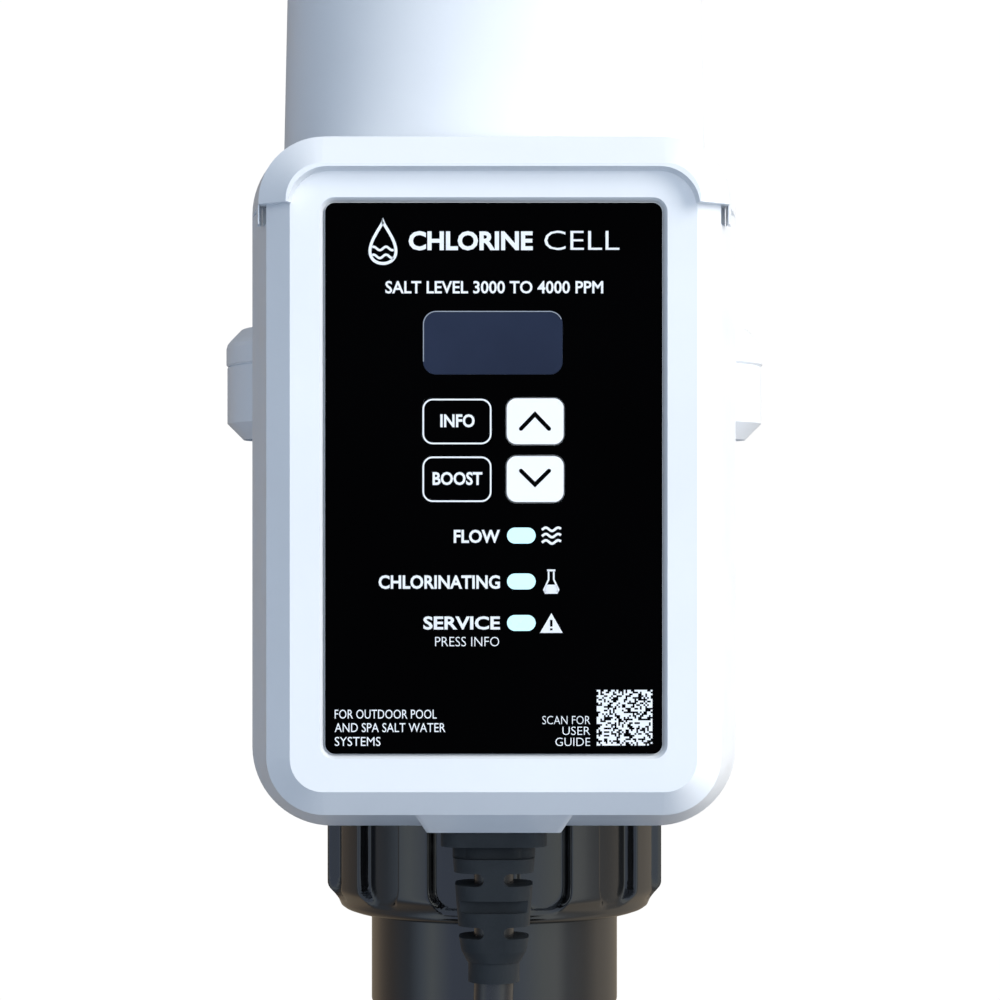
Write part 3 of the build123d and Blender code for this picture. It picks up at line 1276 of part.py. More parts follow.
with BuildPart() as plug_body:
    section = plug_ring_section(
        [
            (0, 0),
            (CABLE_R + 1.6, 0),
            (CABLE_R + 3.4, -BOOT_L),
            (PLUG_R, -BOOT_L - 2),
            (PLUG_R, -BOOT_L - PLUG_L + RING_L + 4),
            (PLUG_R - 1.5, -BOOT_L - PLUG_L + RING_L + 4),
            (PLUG_R - 1.5, -BOOT_L - 20),
            (PLUG_R, -BOOT_L - 20),
            (PLUG_R, -BOOT_L - 22),
            (PLUG_R - 1.5, -BOOT_L - 22),
            (PLUG_R - 1.5, -BOOT_L - PLUG_L),
            (PLUG_R - 3.5, -BOOT_L - PLUG_L),
            (PLUG_R - 3.5, -BOOT_L - PLUG_L + 10),
            (0, -BOOT_L - PLUG_L + 10),
        ]
    )
    revolve(section, axis=PLUG_AXIS)
plug_body.part.label = "plug_body"
export_step(plug_body.part, "parts/plug_body.step")

with BuildPart() as plug_pins:
    with BuildSketch(Plane.XY.offset(PLUG_Z - BOOT_L - PLUG_L + 10)):
        with Locations((PLUG_X, PLUG_Y)):
            with PolarLocations(4, CONTACTS, 45):
                Circle(0.9)
    extrude(amount=-8)
plug_pins.part.label = "plug_pins"
export_step(plug_pins.part, "parts/plug_pins.step")

with BuildPart() as plug_ring:
    section = plug_ring_section(
        [
            (PLUG_R + 0.3, -BOOT_L - 15),
            (RING_R - 1, -BOOT_L - 15),
            (RING_R, -BOOT_L - 16),
            (RING_R, -BOOT_L - 15 - RING_L),
            (RING_R - 1, -BOOT_L - 16 - RING_L),
            (PLUG_R + 1.2, -BOOT_L - 16 - RING_L),
            (PLUG_R + 1.2, -BOOT_L - 24),
            (PLUG_R + 0.3, -BOOT_L - 23),
        ]
    )
    revolve(section, axis=PLUG_AXIS)
    with BuildSketch(Plane.XY.offset(PLUG_Z - BOOT_L - 17.5)):
        with Locations((PLUG_X, PLUG_Y)):
            with PolarLocations(RING_R + 0.5, 18):
                Circle(1.2)
    extrude(amount=-RING_L + 4, mode=Mode.SUBTRACT)
plug_ring.part.label = "plug_ring"
export_step(plug_ring.part, "parts/plug_ring.step")
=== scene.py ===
"""Salt chlorine generator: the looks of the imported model, in metres, in the model's own frame.

+Z runs up along the cell, the control panel faces -Y and the origin is the mouth of the lower
pipe socket. Each section below makes one piece, or one group of like pieces.
"""

import math
import random

import bpy
import numpy as np
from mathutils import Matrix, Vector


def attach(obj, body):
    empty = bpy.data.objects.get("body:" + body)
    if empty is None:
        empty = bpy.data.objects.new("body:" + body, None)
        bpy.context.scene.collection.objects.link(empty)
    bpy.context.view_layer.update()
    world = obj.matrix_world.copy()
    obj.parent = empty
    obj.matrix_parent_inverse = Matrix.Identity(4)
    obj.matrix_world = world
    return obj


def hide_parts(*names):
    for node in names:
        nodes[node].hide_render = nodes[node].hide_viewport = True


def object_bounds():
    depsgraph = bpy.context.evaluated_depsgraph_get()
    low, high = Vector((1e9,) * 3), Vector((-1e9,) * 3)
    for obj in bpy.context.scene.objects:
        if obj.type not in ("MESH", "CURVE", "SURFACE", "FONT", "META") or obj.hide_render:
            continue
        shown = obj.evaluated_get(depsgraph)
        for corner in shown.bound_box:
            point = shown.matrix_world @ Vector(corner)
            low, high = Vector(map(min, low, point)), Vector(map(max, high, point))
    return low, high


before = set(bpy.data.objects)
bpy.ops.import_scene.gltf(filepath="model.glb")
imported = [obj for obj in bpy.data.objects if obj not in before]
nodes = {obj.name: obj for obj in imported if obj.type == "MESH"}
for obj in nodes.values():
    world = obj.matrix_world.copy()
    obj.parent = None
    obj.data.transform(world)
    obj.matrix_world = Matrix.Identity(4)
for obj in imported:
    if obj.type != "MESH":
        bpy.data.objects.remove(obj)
cad_low, cad_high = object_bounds()
MM = 0.001

# ---------------------------------------------------------------- camera and room
# The generator is seen level and square from the front, from about an arm's length, as it hangs
# between its two pipes. The room is a plain pale sweep of paper under and behind it.

camera_data = bpy.data.cameras.new("camera")
camera_data.lens = 113.4
camera_data.sensor_width = 36.0
camera_data.clip_start = 0.05
camera_data.clip_end = 30.0
camera = bpy.data.objects.new("camera", camera_data)
camera.location = (0.0016, -0.9, 0.1433)
camera.rotation_euler = (math.pi / 2, 0.0, 0.0)
bpy.context.scene.collection.objects.link(camera)
bpy.context.scene.camera = camera

settings = bpy.context.scene.view_settings
settings.view_transform = "Standard"
settings.look = "None"
settings.exposure = 0.0


def sheet_mesh(name, points, closed_u=False, closed_v=False):
    """Makes a mesh object from an (m, n, 3) grid of points: each cell of the grid is one face, and
    the grid joins its own start where it is closed along u or v."""
    m, n = points.shape[:2]
    index = np.arange(m * n).reshape(m, n)
    if closed_u:
        index = np.vstack([index, index[:1]])
    if closed_v:
        index = np.hstack([index, index[:, :1]])
    quads = np.stack([index[:-1, :-1], index[1:, :-1], index[1:, 1:], index[:-1, 1:]], axis=-1)
    mesh = bpy.data.meshes.new(name)
    mesh.from_pydata(points.reshape(-1, 3).tolist(), [], quads.reshape(-1, 4).tolist())
    mesh.polygons.foreach_set("use_smooth", np.ones(len(mesh.polygons), dtype=bool))
    mesh.update()
    made = bpy.data.objects.new(name, mesh)
    bpy.context.scene.collection.objects.link(made)
    return made


def room_sweep():
    """The paper sweep: a floor that curves up into a wall. Its section is a straight floor, a
    quarter circle and a straight wall, carried along X."""
    floor_z = cad_low.z - 0.03
    bend = 1.2
    wall_y = 3.2
    turn = np.linspace(0, math.pi / 2, 25)
    section_y = np.concatenate([[-4.0, -1.5], wall_y - bend + bend * np.sin(turn), [wall_y]])
    section_z = np.concatenate([[0, 0], bend - bend * np.cos(turn), [4.5]]) + floor_z
    across = np.linspace(-4.5, 4.5, 3)
    grid = np.zeros((len(section_y), len(across), 3))
    grid[..., 0] = across[None, :]
    grid[..., 1] = section_y[:, None]
    grid[..., 2] = section_z[:, None]
    return sheet_mesh("room_sweep", grid)


sweep = room_sweep()

paper = bpy.data.materials.new("pale_paper")
paper.use_nodes = True
tree = paper.node_tree
tree.nodes.clear()
paper_out = tree.nodes.new("ShaderNodeOutputMaterial")
paper_mix = tree.nodes.new("ShaderNodeMixShader")
paper_ray = tree.nodes.new("ShaderNodeLightPath")
paper_glow = tree.nodes.new("ShaderNodeEmission")
paper_glow.inputs["Color"].default_value = (1.0, 1.0, 1.0, 1.0)
paper_glow.inputs["Strength"].default_value = 1.02
paper_flat = tree.nodes.new("ShaderNodeBsdfDiffuse")
paper_flat.inputs["Color"].default_value = (0.30, 0.35, 0.42, 1.0)
sweep.visible_glossy = False
tree.links.new(paper_ray.outputs["Is Camera Ray"], paper_mix.inputs["Fac"])
tree.links.new(paper_flat.outputs["BSDF"], paper_mix.inputs[1])
tree.links.new(paper_glow.outputs["Emission"], paper_mix.inputs[2])
tree.links.new(paper_mix.outputs["Shader"], paper_out.inputs["Surface"])
sweep.data.materials.append(paper)

# Cool daylight lights the object, stronger from the right. What the glossy parts mirror is laid out
# round the horizon: bands of pale daylight either side of the viewer, dim and warm behind. Past
# the sweep the camera sees white paper.
world = bpy.data.worlds.new("studio")
bpy.context.scene.world = world
world.use_nodes = True
sky = world.node_tree
sky.nodes.clear()
sky_place = sky.nodes.new("ShaderNodeTexCoord")
sky_split = sky.nodes.new("ShaderNodeSeparateXYZ")
sky.links.new(sky_place.outputs["Generated"], sky_split.inputs["Vector"])


def sky_bands(source, low, high, strength, bands):
    """Adds a background whose colour runs through the bands as source goes from low to high."""
    span = sky.nodes.new("ShaderNodeMapRange")
    span.inputs["From Min"].default_value = low
    span.inputs["From Max"].default_value = high
    ramp = sky.nodes.new("ShaderNodeValToRGB")
    ramp.color_ramp.elements.remove(ramp.color_ramp.elements[1])
    ramp.color_ramp.elements[0].position = (bands[0][0] - low) / (high - low)
    ramp.color_ramp.elements[0].color = bands[0][1] + (1.0,)
    for place, colour in bands[1:]:
        ramp.color_ramp.elements.new((place - low) / (high - low)).color = colour + (1.0,)
    back = sky.nodes.new("ShaderNodeBackground")
    back.inputs["Strength"].default_value = strength
    sky.links.new(source, span.inputs["Value"])
    sky.links.new(span.outputs["Result"], ramp.inputs["Fac"])
    sky.links.new(ramp.outputs["Color"], back.inputs["Color"])
    return back


# daylight by how far to the side the direction points
sky_diffuse = sky_bands(
    sky_split.outputs["X"],
    -1.0,
    1.0,
    0.62,
    [
        (-1.0, (0.28, 0.33, 0.41)),
        (-0.3, (0.47, 0.61, 0.82)),
        (0.2, (0.58, 0.77, 1.0)),
        (1.0, (1.0, 1.0, 1.0)),
    ],
)
# degrees round the horizon, 0 towards the viewer and 90 to the right
sky_back = sky.nodes.new("ShaderNodeMath")
sky_back.operation = "MULTIPLY"
sky_back.inputs[1].default_value = -1.0
sky_round = sky.nodes.new("ShaderNodeMath")
sky_round.operation = "ARCTAN2"
sky.links.new(sky_split.outputs["Y"], sky_back.inputs[0])
sky.links.new(sky_split.outputs["X"], sky_round.inputs[0])
sky.links.new(sky_back.outputs["Value"], sky_round.inputs[1])
sky_mirrored = sky_bands(
    sky_round.outputs["Value"],
    -math.pi,
    math.pi,
    1.3,
    [
        (math.radians(angle), colour)
        for angle, colour in (
            (-160, (0.24, 0.20, 0.15)),
            (-142, (0.34, 0.27, 0.20)),
            (-112, (0.26, 0.23, 0.21)),
            (-86, (0.26, 0.30, 0.36)),
            (-72, (0.55, 0.66, 0.80)),
            (-60, (0.85, 0.95, 1.0)),
            (-40, (0.50, 0.60, 0.82)),
            (0, (0.50, 0.60, 0.75)),
            (26, (0.70, 0.82, 0.98)),
            (46, (0.92, 1.0, 1.0)),
            (60, (0.95, 1.0, 1.0)),
            (72, (0.50, 0.53, 0.56)),
            (92, (0.42, 0.41, 0.39)),
            (112, (0.60, 0.54, 0.46)),
            (160, (0.27, 0.23, 0.18)),
        )
    ],
)
sky_ray = sky.nodes.new("ShaderNodeLightPath")
sky_white = sky.nodes.new("ShaderNodeBackground")
sky_white.inputs["Color"].default_value = (1.0, 1.0, 1.0, 1.0)
sky_pick = sky.nodes.new("ShaderNodeMixShader")
sky_mix = sky.nodes.new("ShaderNodeMixShader")
sky_out = sky.nodes.new("ShaderNodeOutputWorld")
sky.links.new(sky_ray.outputs["Is Glossy Ray"], sky_pick.inputs["Fac"])
sky.links.new(sky_diffuse.outputs["Background"], sky_pick.inputs[1])
sky.links.new(sky_mirrored.outputs["Background"], sky_pick.inputs[2])
sky.links.new(sky_ray.outputs["Is Camera Ray"], sky_mix.inputs["Fac"])
sky.links.new(sky_pick.outputs["Shader"], sky_mix.inputs[1])
sky.links.new(sky_white.outputs["Background"], sky_mix.inputs[2])
sky.links.new(sky_mix.outputs["Shader"], sky_out.inputs["Surface"])


def soft_light(name, place, aim, width, height, power, colour):
    """Adds one soft rectangular light at place that faces aim."""
    data = bpy.data.lights.new(name, "AREA")
    data.shape = "RECTANGLE"
    data.size = width
    data.size_y = height
    data.energy = power
    data.color = colour
    light = bpy.data.objects.new(name, data)
    light.location = place
    facing = np.array(aim) - np.array(place)
    light.rotation_euler = Vector(facing).to_track_quat("-Z", "Y").to_euler()
    light.visible_glossy = False
    bpy.context.scene.collection.objects.link(light)


soft_light("key", (2.4, -2.1, 1.55), (0, 0, 0.2), 1.9, 2.4, 96, (1.0, 0.985, 0.96))
soft_light("front_fill", (-0.3, -2.4, 0.5), (0, 0, 0.15), 1.6, 1.2, 16, (0.9, 0.95, 1.0))
soft_light("right_side", (1.9, 0.3, 0.3), (0, 0, 0.2), 0.8, 1.6, 22, (1.0, 0.99, 0.97))

# ---------------------------------------------------------------- supply cable
# Round rubber-jacketed cable, 10.4 mm thick and 3.55 m long, that hangs out of the strain relief
# into a tied coil of just over eight turns. Its last stretch hangs from the coil with the plug.

CABLE_D = 10.4 * MM
COIL_CENTRE = np.array([0.0, -0.075, -0.128])
COIL_MID_R = 67.0 * MM
lead_points = [
    (0.0, -0.075, 0.0174),
    (0.0, -0.075, -0.0145),
    (-0.017, -0.0795, -0.0485),
]
tail_points = [
    (-0.0800, -0.0655, -0.148),
    (-0.0792, -0.0662, -0.172),
    (-0.0792, -0.0662, -0.194),
]
# the nine places of a turn in the bundle, as (row out from the centre, row towards the back)
TURN_ORDER = [(1, -1), (1, 0), (0, 0), (0, -1), (-1, -1), (-1, 0), (-1, 1), (0, 1), (1, 1)]
POINTS_PER_TURN = 20
START_ANGLE = 128.0
END_ANGLE = 180.0
SHIFT_START = 290.0  # degrees into a turn where the cable starts to cross to its next place
SHIFT_SPAN = 70.0


def coil_points():
    """Points round the coil: the angle grows steadily, and within each turn the radius and the
    depth stay at that turn's place in the bundle, then ease over to the next place. The radius is
    divided by the cosine of half a step, since the curve runs that much inside its points."""
    total = 360.0 * (len(TURN_ORDER) - 1) + END_ANGLE - START_ANGLE
    steps = int(total / 360.0 * POINTS_PER_TURN)
    swept = np.linspace(0, total, steps + 1)
    turn = np.minimum((swept // 360.0).astype(int), len(TURN_ORDER) - 1)
    after = np.minimum(turn + 1, len(TURN_ORDER) - 1)
    part = np.clip((swept % 360.0 - SHIFT_START) / SHIFT_SPAN, 0, 1)
    ease = part * part * (3 - 2 * part)
    place = np.array(TURN_ORDER, float)
    at = place[turn] * (1 - ease[:, None]) + place[after] * ease[:, None]
    angle = np.radians(START_ANGLE + swept)
    radius = (COIL_MID_R + at[:, 0] * CABLE_D) / math.cos(math.pi / POINTS_PER_TURN)
    x = COIL_CENTRE[0] + radius * np.cos(angle)
    z = COIL_CENTRE[2] + radius * np.sin(angle)
    y = COIL_CENTRE[1] + at[:, 1] * CABLE_D
    return [tuple(point) for point in np.stack([x, y, z], axis=1)]


cable_data = bpy.data.curves.new("supply_cable", "CURVE")
cable_data.dimensions = "3D"
cable_data.bevel_depth = 1.0
cable_data.bevel_resolution = 8
cable_data.use_fill_caps = True
cable_data.resolution_u = 4
route = cable_data.splines.new("NURBS")
route_points = lead_points + coil_points() + tail_points
route.points.add(len(route_points) - 1)
for spot, point in zip(route.points, route_points):
    spot.co = (*point, 1.0)
    spot.radius = CABLE_D / 2
route.order_u = 3
route.use_endpoint_u = True
supply_cable = bpy.data.objects.new("supply_cable", cable_data)
bpy.context.scene.collection.objects.link(supply_cable)
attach(supply_cable, "generator")
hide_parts("cable", "cable_coil", "cable_tail")


def surface(name, colour, rough, metal=0.0, grain=900.0, bump=0.04, worn=0.12, shine=0.5):
    """Makes one procedural material on Object coordinates. A slow cloud of noise shifts the colour
    by the share worn, a middle one varies the roughness, and a fine one raises the grain."""
    made = bpy.data.materials.new(name)
    made.use_nodes = True
    tree = made.node_tree
    shader = tree.nodes["Principled BSDF"]
    shader.inputs["Metallic"].default_value = metal
    shader.inputs["Specular IOR Level"].default_value = shine
    place = tree.nodes.new("ShaderNodeTexCoord")
    slow = tree.nodes.new("ShaderNodeTexNoise")
    slow.inputs["Scale"].default_value = 22.0
    slow.inputs["Detail"].default_value = 5.0
    tint = tree.nodes.new("ShaderNodeValToRGB")
    tint.color_ramp.elements[0].position = 0.3
    tint.color_ramp.elements[0].color = tuple(c * (1 - worn) for c in colour) + (1.0,)
    tint.color_ramp.elements[1].position = 0.7
    tint.color_ramp.elements[1].color = tuple(min(c * (1 + worn * 0.3), 1.0) for c in colour) + (1.0,)
    middle = tree.nodes.new("ShaderNodeTexNoise")
    middle.inputs["Scale"].default_value = 140.0
    middle.inputs["Detail"].default_value = 4.0
    spread = tree.nodes.new("ShaderNodeMapRange")
    spread.inputs["From Min"].default_value = 0.3
    spread.inputs["From Max"].default_value = 0.7
    spread.inputs["To Min"].default_value = rough * 0.82
    spread.inputs["To Max"].default_value = min(rough * 1.22, 1.0)
    fine = tree.nodes.new("ShaderNodeTexNoise")
    fine.inputs["Scale"].default_value = grain
    fine.inputs["Detail"].default_value = 3.0
    raised = tree.nodes.new("ShaderNodeBump")
    raised.inputs["Strength"].default_value = bump
    raised.inputs["Distance"].default_value = 0.0004
    for texture in (slow, middle, fine):
        tree.links.new(place.outputs["Object"], texture.inputs["Vector"])
    tree.links.new(slow.outputs["Fac"], tint.inputs["Fac"])
    tree.links.new(tint.outputs["Color"], shader.inputs["Base Color"])
    tree.links.new(middle.outputs["Fac"], spread.inputs["Value"])
    tree.links.new(spread.outputs["Result"], shader.inputs["Roughness"])
    tree.links.new(fine.outputs["Fac"], raised.inputs["Height"])
    tree.links.new(raised.outputs["Normal"], shader.inputs["Normal"])
    return made


def paint(material, *objects):
    """Gives each object this one material."""
    for shown in objects:
        shown.data.materials.clear()
        shown.data.materials.append(material)


cable_black = surface("cable_black", (0.012, 0.012, 0.013), 0.24, grain=1400, bump=0.05, worn=0.3)
paint(cable_black, supply_cable)
paint(cable_black, nodes["cable_entry"], nodes["input_conductors"], nodes["electrode_leads"])
paint(cable_black, nodes["cable"], nodes["cable_coil"], nodes["cable_tail"])

# ---------------------------------------------------------------- coil ties and plug
# Two straps of black nylon hold the coil's turns together, and the cable's end carries a moulded
# black plug with four plated pins and a loose ribbed coupling ring.

plug_black = surface("plug_black", (0.014, 0.014, 0.016), 0.42, grain=1100, bump=0.12, worn=0.25)
paint(plug_black, nodes["plug_body"], nodes["plug_ring"], nodes["coil_ties"])
contact_metal = surface("contact_metal", (0.80, 0.62, 0.30), 0.26, metal=1.0, grain=1600, bump=0.03)
paint(contact_metal, nodes["plug_pins"], nodes["ring_lugs"])

# ---------------------------------------------------------------- strain relief
# The relief is moulded in flexible charcoal rubber: it plugs into the box's foot and its slots let
# it bend with the cable.

relief_charcoal = surface(
    "relief_charcoal", (0.0165, 0.0195, 0.0225), 0.62, grain=1500, bump=0.10, worn=0.10, shine=0.2
)
paint(relief_charcoal, nodes["strain_relief"])

# ---------------------------------------------------------------- union tails
# The pipe tails are moulded in glossy black plastic. Each is glued to its pipe and is held against
# the cell by its nut.

union_black = surface(
    "union_black", (0.0045, 0.0045, 0.005), 0.13, grain=700, bump=0.018, worn=0.35, shine=0.62
)
paint(union_black, nodes["lower_union_tail"], nodes["upper_union_tail"])

# ---------------------------------------------------------------- union nuts
# Each nut is a lobed ring of the same glossy black plastic with wide rounded grooves for the hand.
# It turns on the tail and its thread ridges hold the tail's flange to the cell's neck.

TOTAL_HEIGHT = 0.470  # mouth to mouth of the two sockets
NUT_LOW = 0.0273
NUT_FLOOR_R = 0.0441
NUT_RIB_R = 0.0476
NUT_BORE_R = 0.0410
RIDGE_R = 0.0395
NUT_LIP_R = 0.0354
NUT_LOBES = 12
NUT_TURN = 2.0  # degrees that the tightened nut stands past square
GROOVE_HALF = 0.0072
GROOVE_FOOT = 0.0042
GROOVE_CORNER = 0.0055
EDGE_BLEND = 1.5 * MM  # width over which a groove's wall rises to the rib
THREAD_TURNS = 4
# these five are heights in millimetres, as the section's own points are
THREAD_PITCH = 5.5
THREAD_START = 15.7 + 9.75
RIDGE_ROOT = 1.6
RIDGE_CREST = 0.6
LIP_H = 7.3


def nut_grid(upside_down):
    """Points of a nut: a grid of angle by place along its section. Outside, the radius is the
    floor's radius plus the rib's height times a smooth step of the distance to the nearest
    groove's rounded outline. The section goes on over the top, down the ridged bore and back along
    the lip underneath."""
    step = [0, 1.6, 3.2, 4.6, 5.6, 6.2, 6.6, 6.9, 7.15, 7.4, 7.65, 7.95, 8.35, 9.0, 10.2, 12.0]
    step = np.array(step) * MM
    across = np.concatenate([-step[::-1], step[1:]])
    pitch = 2 * math.pi / NUT_LOBES
    edge_angle = across / NUT_RIB_R
    lobes = [(lobe + 0.5) * pitch + edge_angle for lobe in range(NUT_LOBES)]
    angles = np.concatenate(lobes) + math.radians(NUT_TURN)
    # height above the nut's foot and the rib's height there, foot to top
    rise = [(2.1, 0.0), (2.9, 0.35), (3.7, 0.9), (4.5, 1.55), (5.3, 2.3), (6.0, 2.95)]
    rise += [(6.6, 3.3), (7.2, 3.48), (8.0, 3.5)] + [(h, 3.5) for h in np.linspace(9.2, 42.0, 24)]
    rise += [(43.0, 3.5), (43.8, 3.4), (44.6, 3.0), (45.2, 2.45), (45.7, 1.65), (45.95, 0.7)]
    heights = np.array([h for h, _ in rise]) * MM
    ribs = np.array([r for _, r in rise]) * MM
    along = np.tile(across, NUT_LOBES)[:, None]
    above = (heights[None, :] - GROOVE_FOOT) - GROOVE_CORNER
    side = np.abs(along) - (GROOVE_HALF - GROOVE_CORNER)
    corner = np.hypot(np.maximum(side, 0), np.maximum(-above, 0))
    inside = np.minimum(np.maximum(side, -above), 0)
    distance = corner + inside - GROOVE_CORNER
    share = np.clip(distance / EDGE_BLEND + 0.45, 0, 1)
    share = share * share * share * (share * (share * 6 - 15) + 10)
    outside_r = NUT_FLOOR_R + ribs[None, :] * share
    ridge = []
    for turn in range(THREAD_TURNS):
        middle = THREAD_START + turn * THREAD_PITCH
        upper = [(NUT_BORE_R, middle + RIDGE_ROOT), (RIDGE_R, middle + RIDGE_CREST)]
        lower = [(RIDGE_R, middle - RIDGE_CREST), (NUT_BORE_R, middle - RIDGE_ROOT)]
        ridge = upper + lower + ridge
    inner = [(0.0440, 46.0), (0.0425, 46.0), (NUT_BORE_R, 45.7)] + ridge
    inner += [(NUT_BORE_R, LIP_H), (0.0380, LIP_H), (NUT_LIP_R, LIP_H), (NUT_LIP_R, 0.3)]
    inner += [(NUT_LIP_R + 0.0003, 0.0), (0.0400, 0.0)]
    inner += [(0.0415, 0.15), (0.0428, 0.6), (0.0437, 1.25)]
    rest_r = np.array([r for r, _ in inner])
    rest_h = np.array([h for _, h in inner]) * MM
    radius = np.hstack([outside_r, np.tile(rest_r, (len(angles), 1))])
    height = np.tile(np.concatenate([heights, rest_h]), (len(angles), 1)) + NUT_LOW
    x = radius * np.cos(angles)[:, None]
    y = radius * np.sin(angles)[:, None]
    if upside_down:
        return np.stack([x, y, TOTAL_HEIGHT - height], axis=-1)[:, ::-1]
    return np.stack([x, y, height], axis=-1)


for name, body, flip in (("lower_nut_ring", "lower_nut", False), ("upper_nut_ring", "upper_nut", True)):
    nut = sheet_mesh(name, nut_grid(flip), closed_u=True, closed_v=True)
    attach(nut, body)
    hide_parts("lower_union_nut" if body == "lower_nut" else "upper_union_nut")
    paint(union_black, nut, nodes["lower_union_nut"], nodes["upper_union_nut"])

# ---------------------------------------------------------------- seals
# O-rings and gaskets are plain black rubber. Each sits in its own groove and is squeezed there by
# the nut or the screws that close it.

seal_rubber = surface("seal_rubber", (0.018, 0.018, 0.018), 0.55, grain=1800, bump=0.08, worn=0.2)
paint(
    seal_rubber,
    *[nodes[name] for name in ("lower_union_oring", "upper_union_oring", "body_oring")],
    *[nodes[name] for name in ("flow_switch_seal", "terminal_seals", "box_gasket")],
)

# ---------------------------------------------------------------- housing
# The cell's lower body, the shell screwed on over it and the control box are injection-moulded in
# white plastic with a faint satin texture and a little grime of use.

housing_white = surface(
    "housing_white", (0.84, 0.86, 0.885), 0.34, grain=620, bump=0.05, worn=0.035, shine=0.45
)
paint(
    housing_white,
    *[nodes[name] for name in ("lower_body", "upper_shell", "box_cover", "box_back_shell")],
)

# ---------------------------------------------------------------- metal parts
# Screws, nuts, the paddle's pin and the probe are stainless steel. The electrode plates and their
# posts are coated titanium, and the heat sink is aluminium.

stainless = surface("stainless", (0.60, 0.60, 0.60), 0.28, metal=1.0, grain=1500, bump=0.05, worn=0.15)
paint(
    stainless,
    *[nodes[name] for name in ("flange_screws", "cover_screws", "mount_screws", "board_screws")],
    *[nodes[name] for name in ("terminal_nuts", "flow_paddle_pin", "temperature_probe")],
)
titanium = surface("titanium", (0.30, 0.29, 0.30), 0.48, metal=1.0, grain=1300, bump=0.12, worn=0.3)
paint(titanium, nodes["electrode_plates"], nodes["terminal_posts"])
heat_sink_metal = surface("heat_sink_metal", (0.58, 0.58, 0.60), 0.35, metal=1.0, grain=1000, bump=0.06)
paint(heat_sink_metal, nodes["heat_sink"])

# ---------------------------------------------------------------- inside plastics and boards
# Pale combs space the plates, the flow switch is dark, and green lacquered boards carry black
# relays, capacitors and terminal blocks.

comb_plastic = surface("comb_plastic", (0.74, 0.75, 0.76), 0.5, grain=800, bump=0.06, worn=0.06)
paint(comb_plastic, nodes["lower_plate_comb"], nodes["upper_plate_comb"])
switch_plastic = surface("switch_plastic", (0.07, 0.07, 0.08), 0.45, grain=900, bump=0.06, worn=0.15)
paint(switch_plastic, nodes["flow_switch_body"], nodes["flow_paddle"])
board_green = surface("board_green", (0.02, 0.13, 0.06), 0.3, grain=500, bump=0.03, worn=0.2)
paint(board_green, nodes["control_board"], nodes["driver_board"])
part_black = surface("part_black", (0.02, 0.02, 0.02), 0.45, grain=1000, bump=0.05, worn=0.2)
paint(part_black, *[nodes[name] for name in ("key_switches", "relays", "capacitors", "terminal_blocks")])

# ---------------------------------------------------------------- panel overlay and display
# The overlay is a black printed film behind anti-glare lacquer. The display's window shows the
# slate blue of an unlit liquid crystal display.

panel_black = surface(
    "panel_black", (0.0010, 0.0010, 0.0012), 0.5, grain=1600, bump=0.02, worn=0.2, shine=0.0
)
paint(panel_black, nodes["panel_overlay"], nodes["info_key"], nodes["boost_key"])
display_grey = surface("display_grey", (0.02, 0.028, 0.055), 0.4, grain=900, bump=0.02, worn=0.1)
paint(display_grey, nodes["display_module"])
window_clear = surface(
    "window_clear", (0.021, 0.029, 0.056), 0.2, grain=700, bump=0.01, worn=0.3, shine=0.04
)
paint(window_clear, nodes["display_window"])

# ---------------------------------------------------------------- up and down keys
# The two arrow keys are caps of the same film as the other two, printed white. They are pressed in
# through the overlay.

key_white = surface("key_white", (0.96, 0.96, 0.95), 0.35, grain=1200, bump=0.03, worn=0.03)
paint(key_white, nodes["up_key"], nodes["down_key"])

# ---------------------------------------------------------------- status lights
# Three pale windows of milky plastic glow a faint cyan over the light emitters behind them.

lens_pale = surface("lens_pale", (0.50, 0.80, 0.84), 0.3, grain=1200, bump=0.03, worn=0.05)
lens_shader = lens_pale.node_tree.nodes["Principled BSDF"]
lens_shader.inputs["Emission Color"].default_value = (0.55, 0.93, 1.0, 1.0)
lens_shader.inputs["Emission Strength"].default_value = 0.42
paint(lens_pale, nodes["status_lenses"], nodes["light_emitters"])

# ---------------------------------------------------------------- printed legends
# White ink on the overlay: a heading with a water drop, the salt range, the lights' names and
# symbols, two short notes at the foot and a square of random white cells.

PRINT_Y = -0.10354
INK_T = 0.00003


def ink_shape(name, outlines, y=PRINT_Y):
    """Makes a thin printed shape from closed outlines of (x, z) points in millimetres. Outlines
    that meet at a point share it, so that the shape is one skin."""
    index = {}
    faces = []
    for outline in outlines:
        keys = [(round(px, 4), round(pz, 4)) for px, pz in outline]
        faces.append([index.setdefault(key, len(index)) for key in keys])
    mesh = bpy.data.meshes.new(name)
    mesh.from_pydata([(px * MM, y, pz * MM) for px, pz in index], [], faces)
    mesh.update()
    if sum(face.normal.y for face in mesh.polygons) > 0:
        mesh.flip_normals()
    made = bpy.data.objects.new(name, mesh)
    bpy.context.scene.collection.objects.link(made)
    thick = made.modifiers.new("ink", "SOLIDIFY")
    thick.thickness = INK_T
    thick.offset = -1.0
    return made


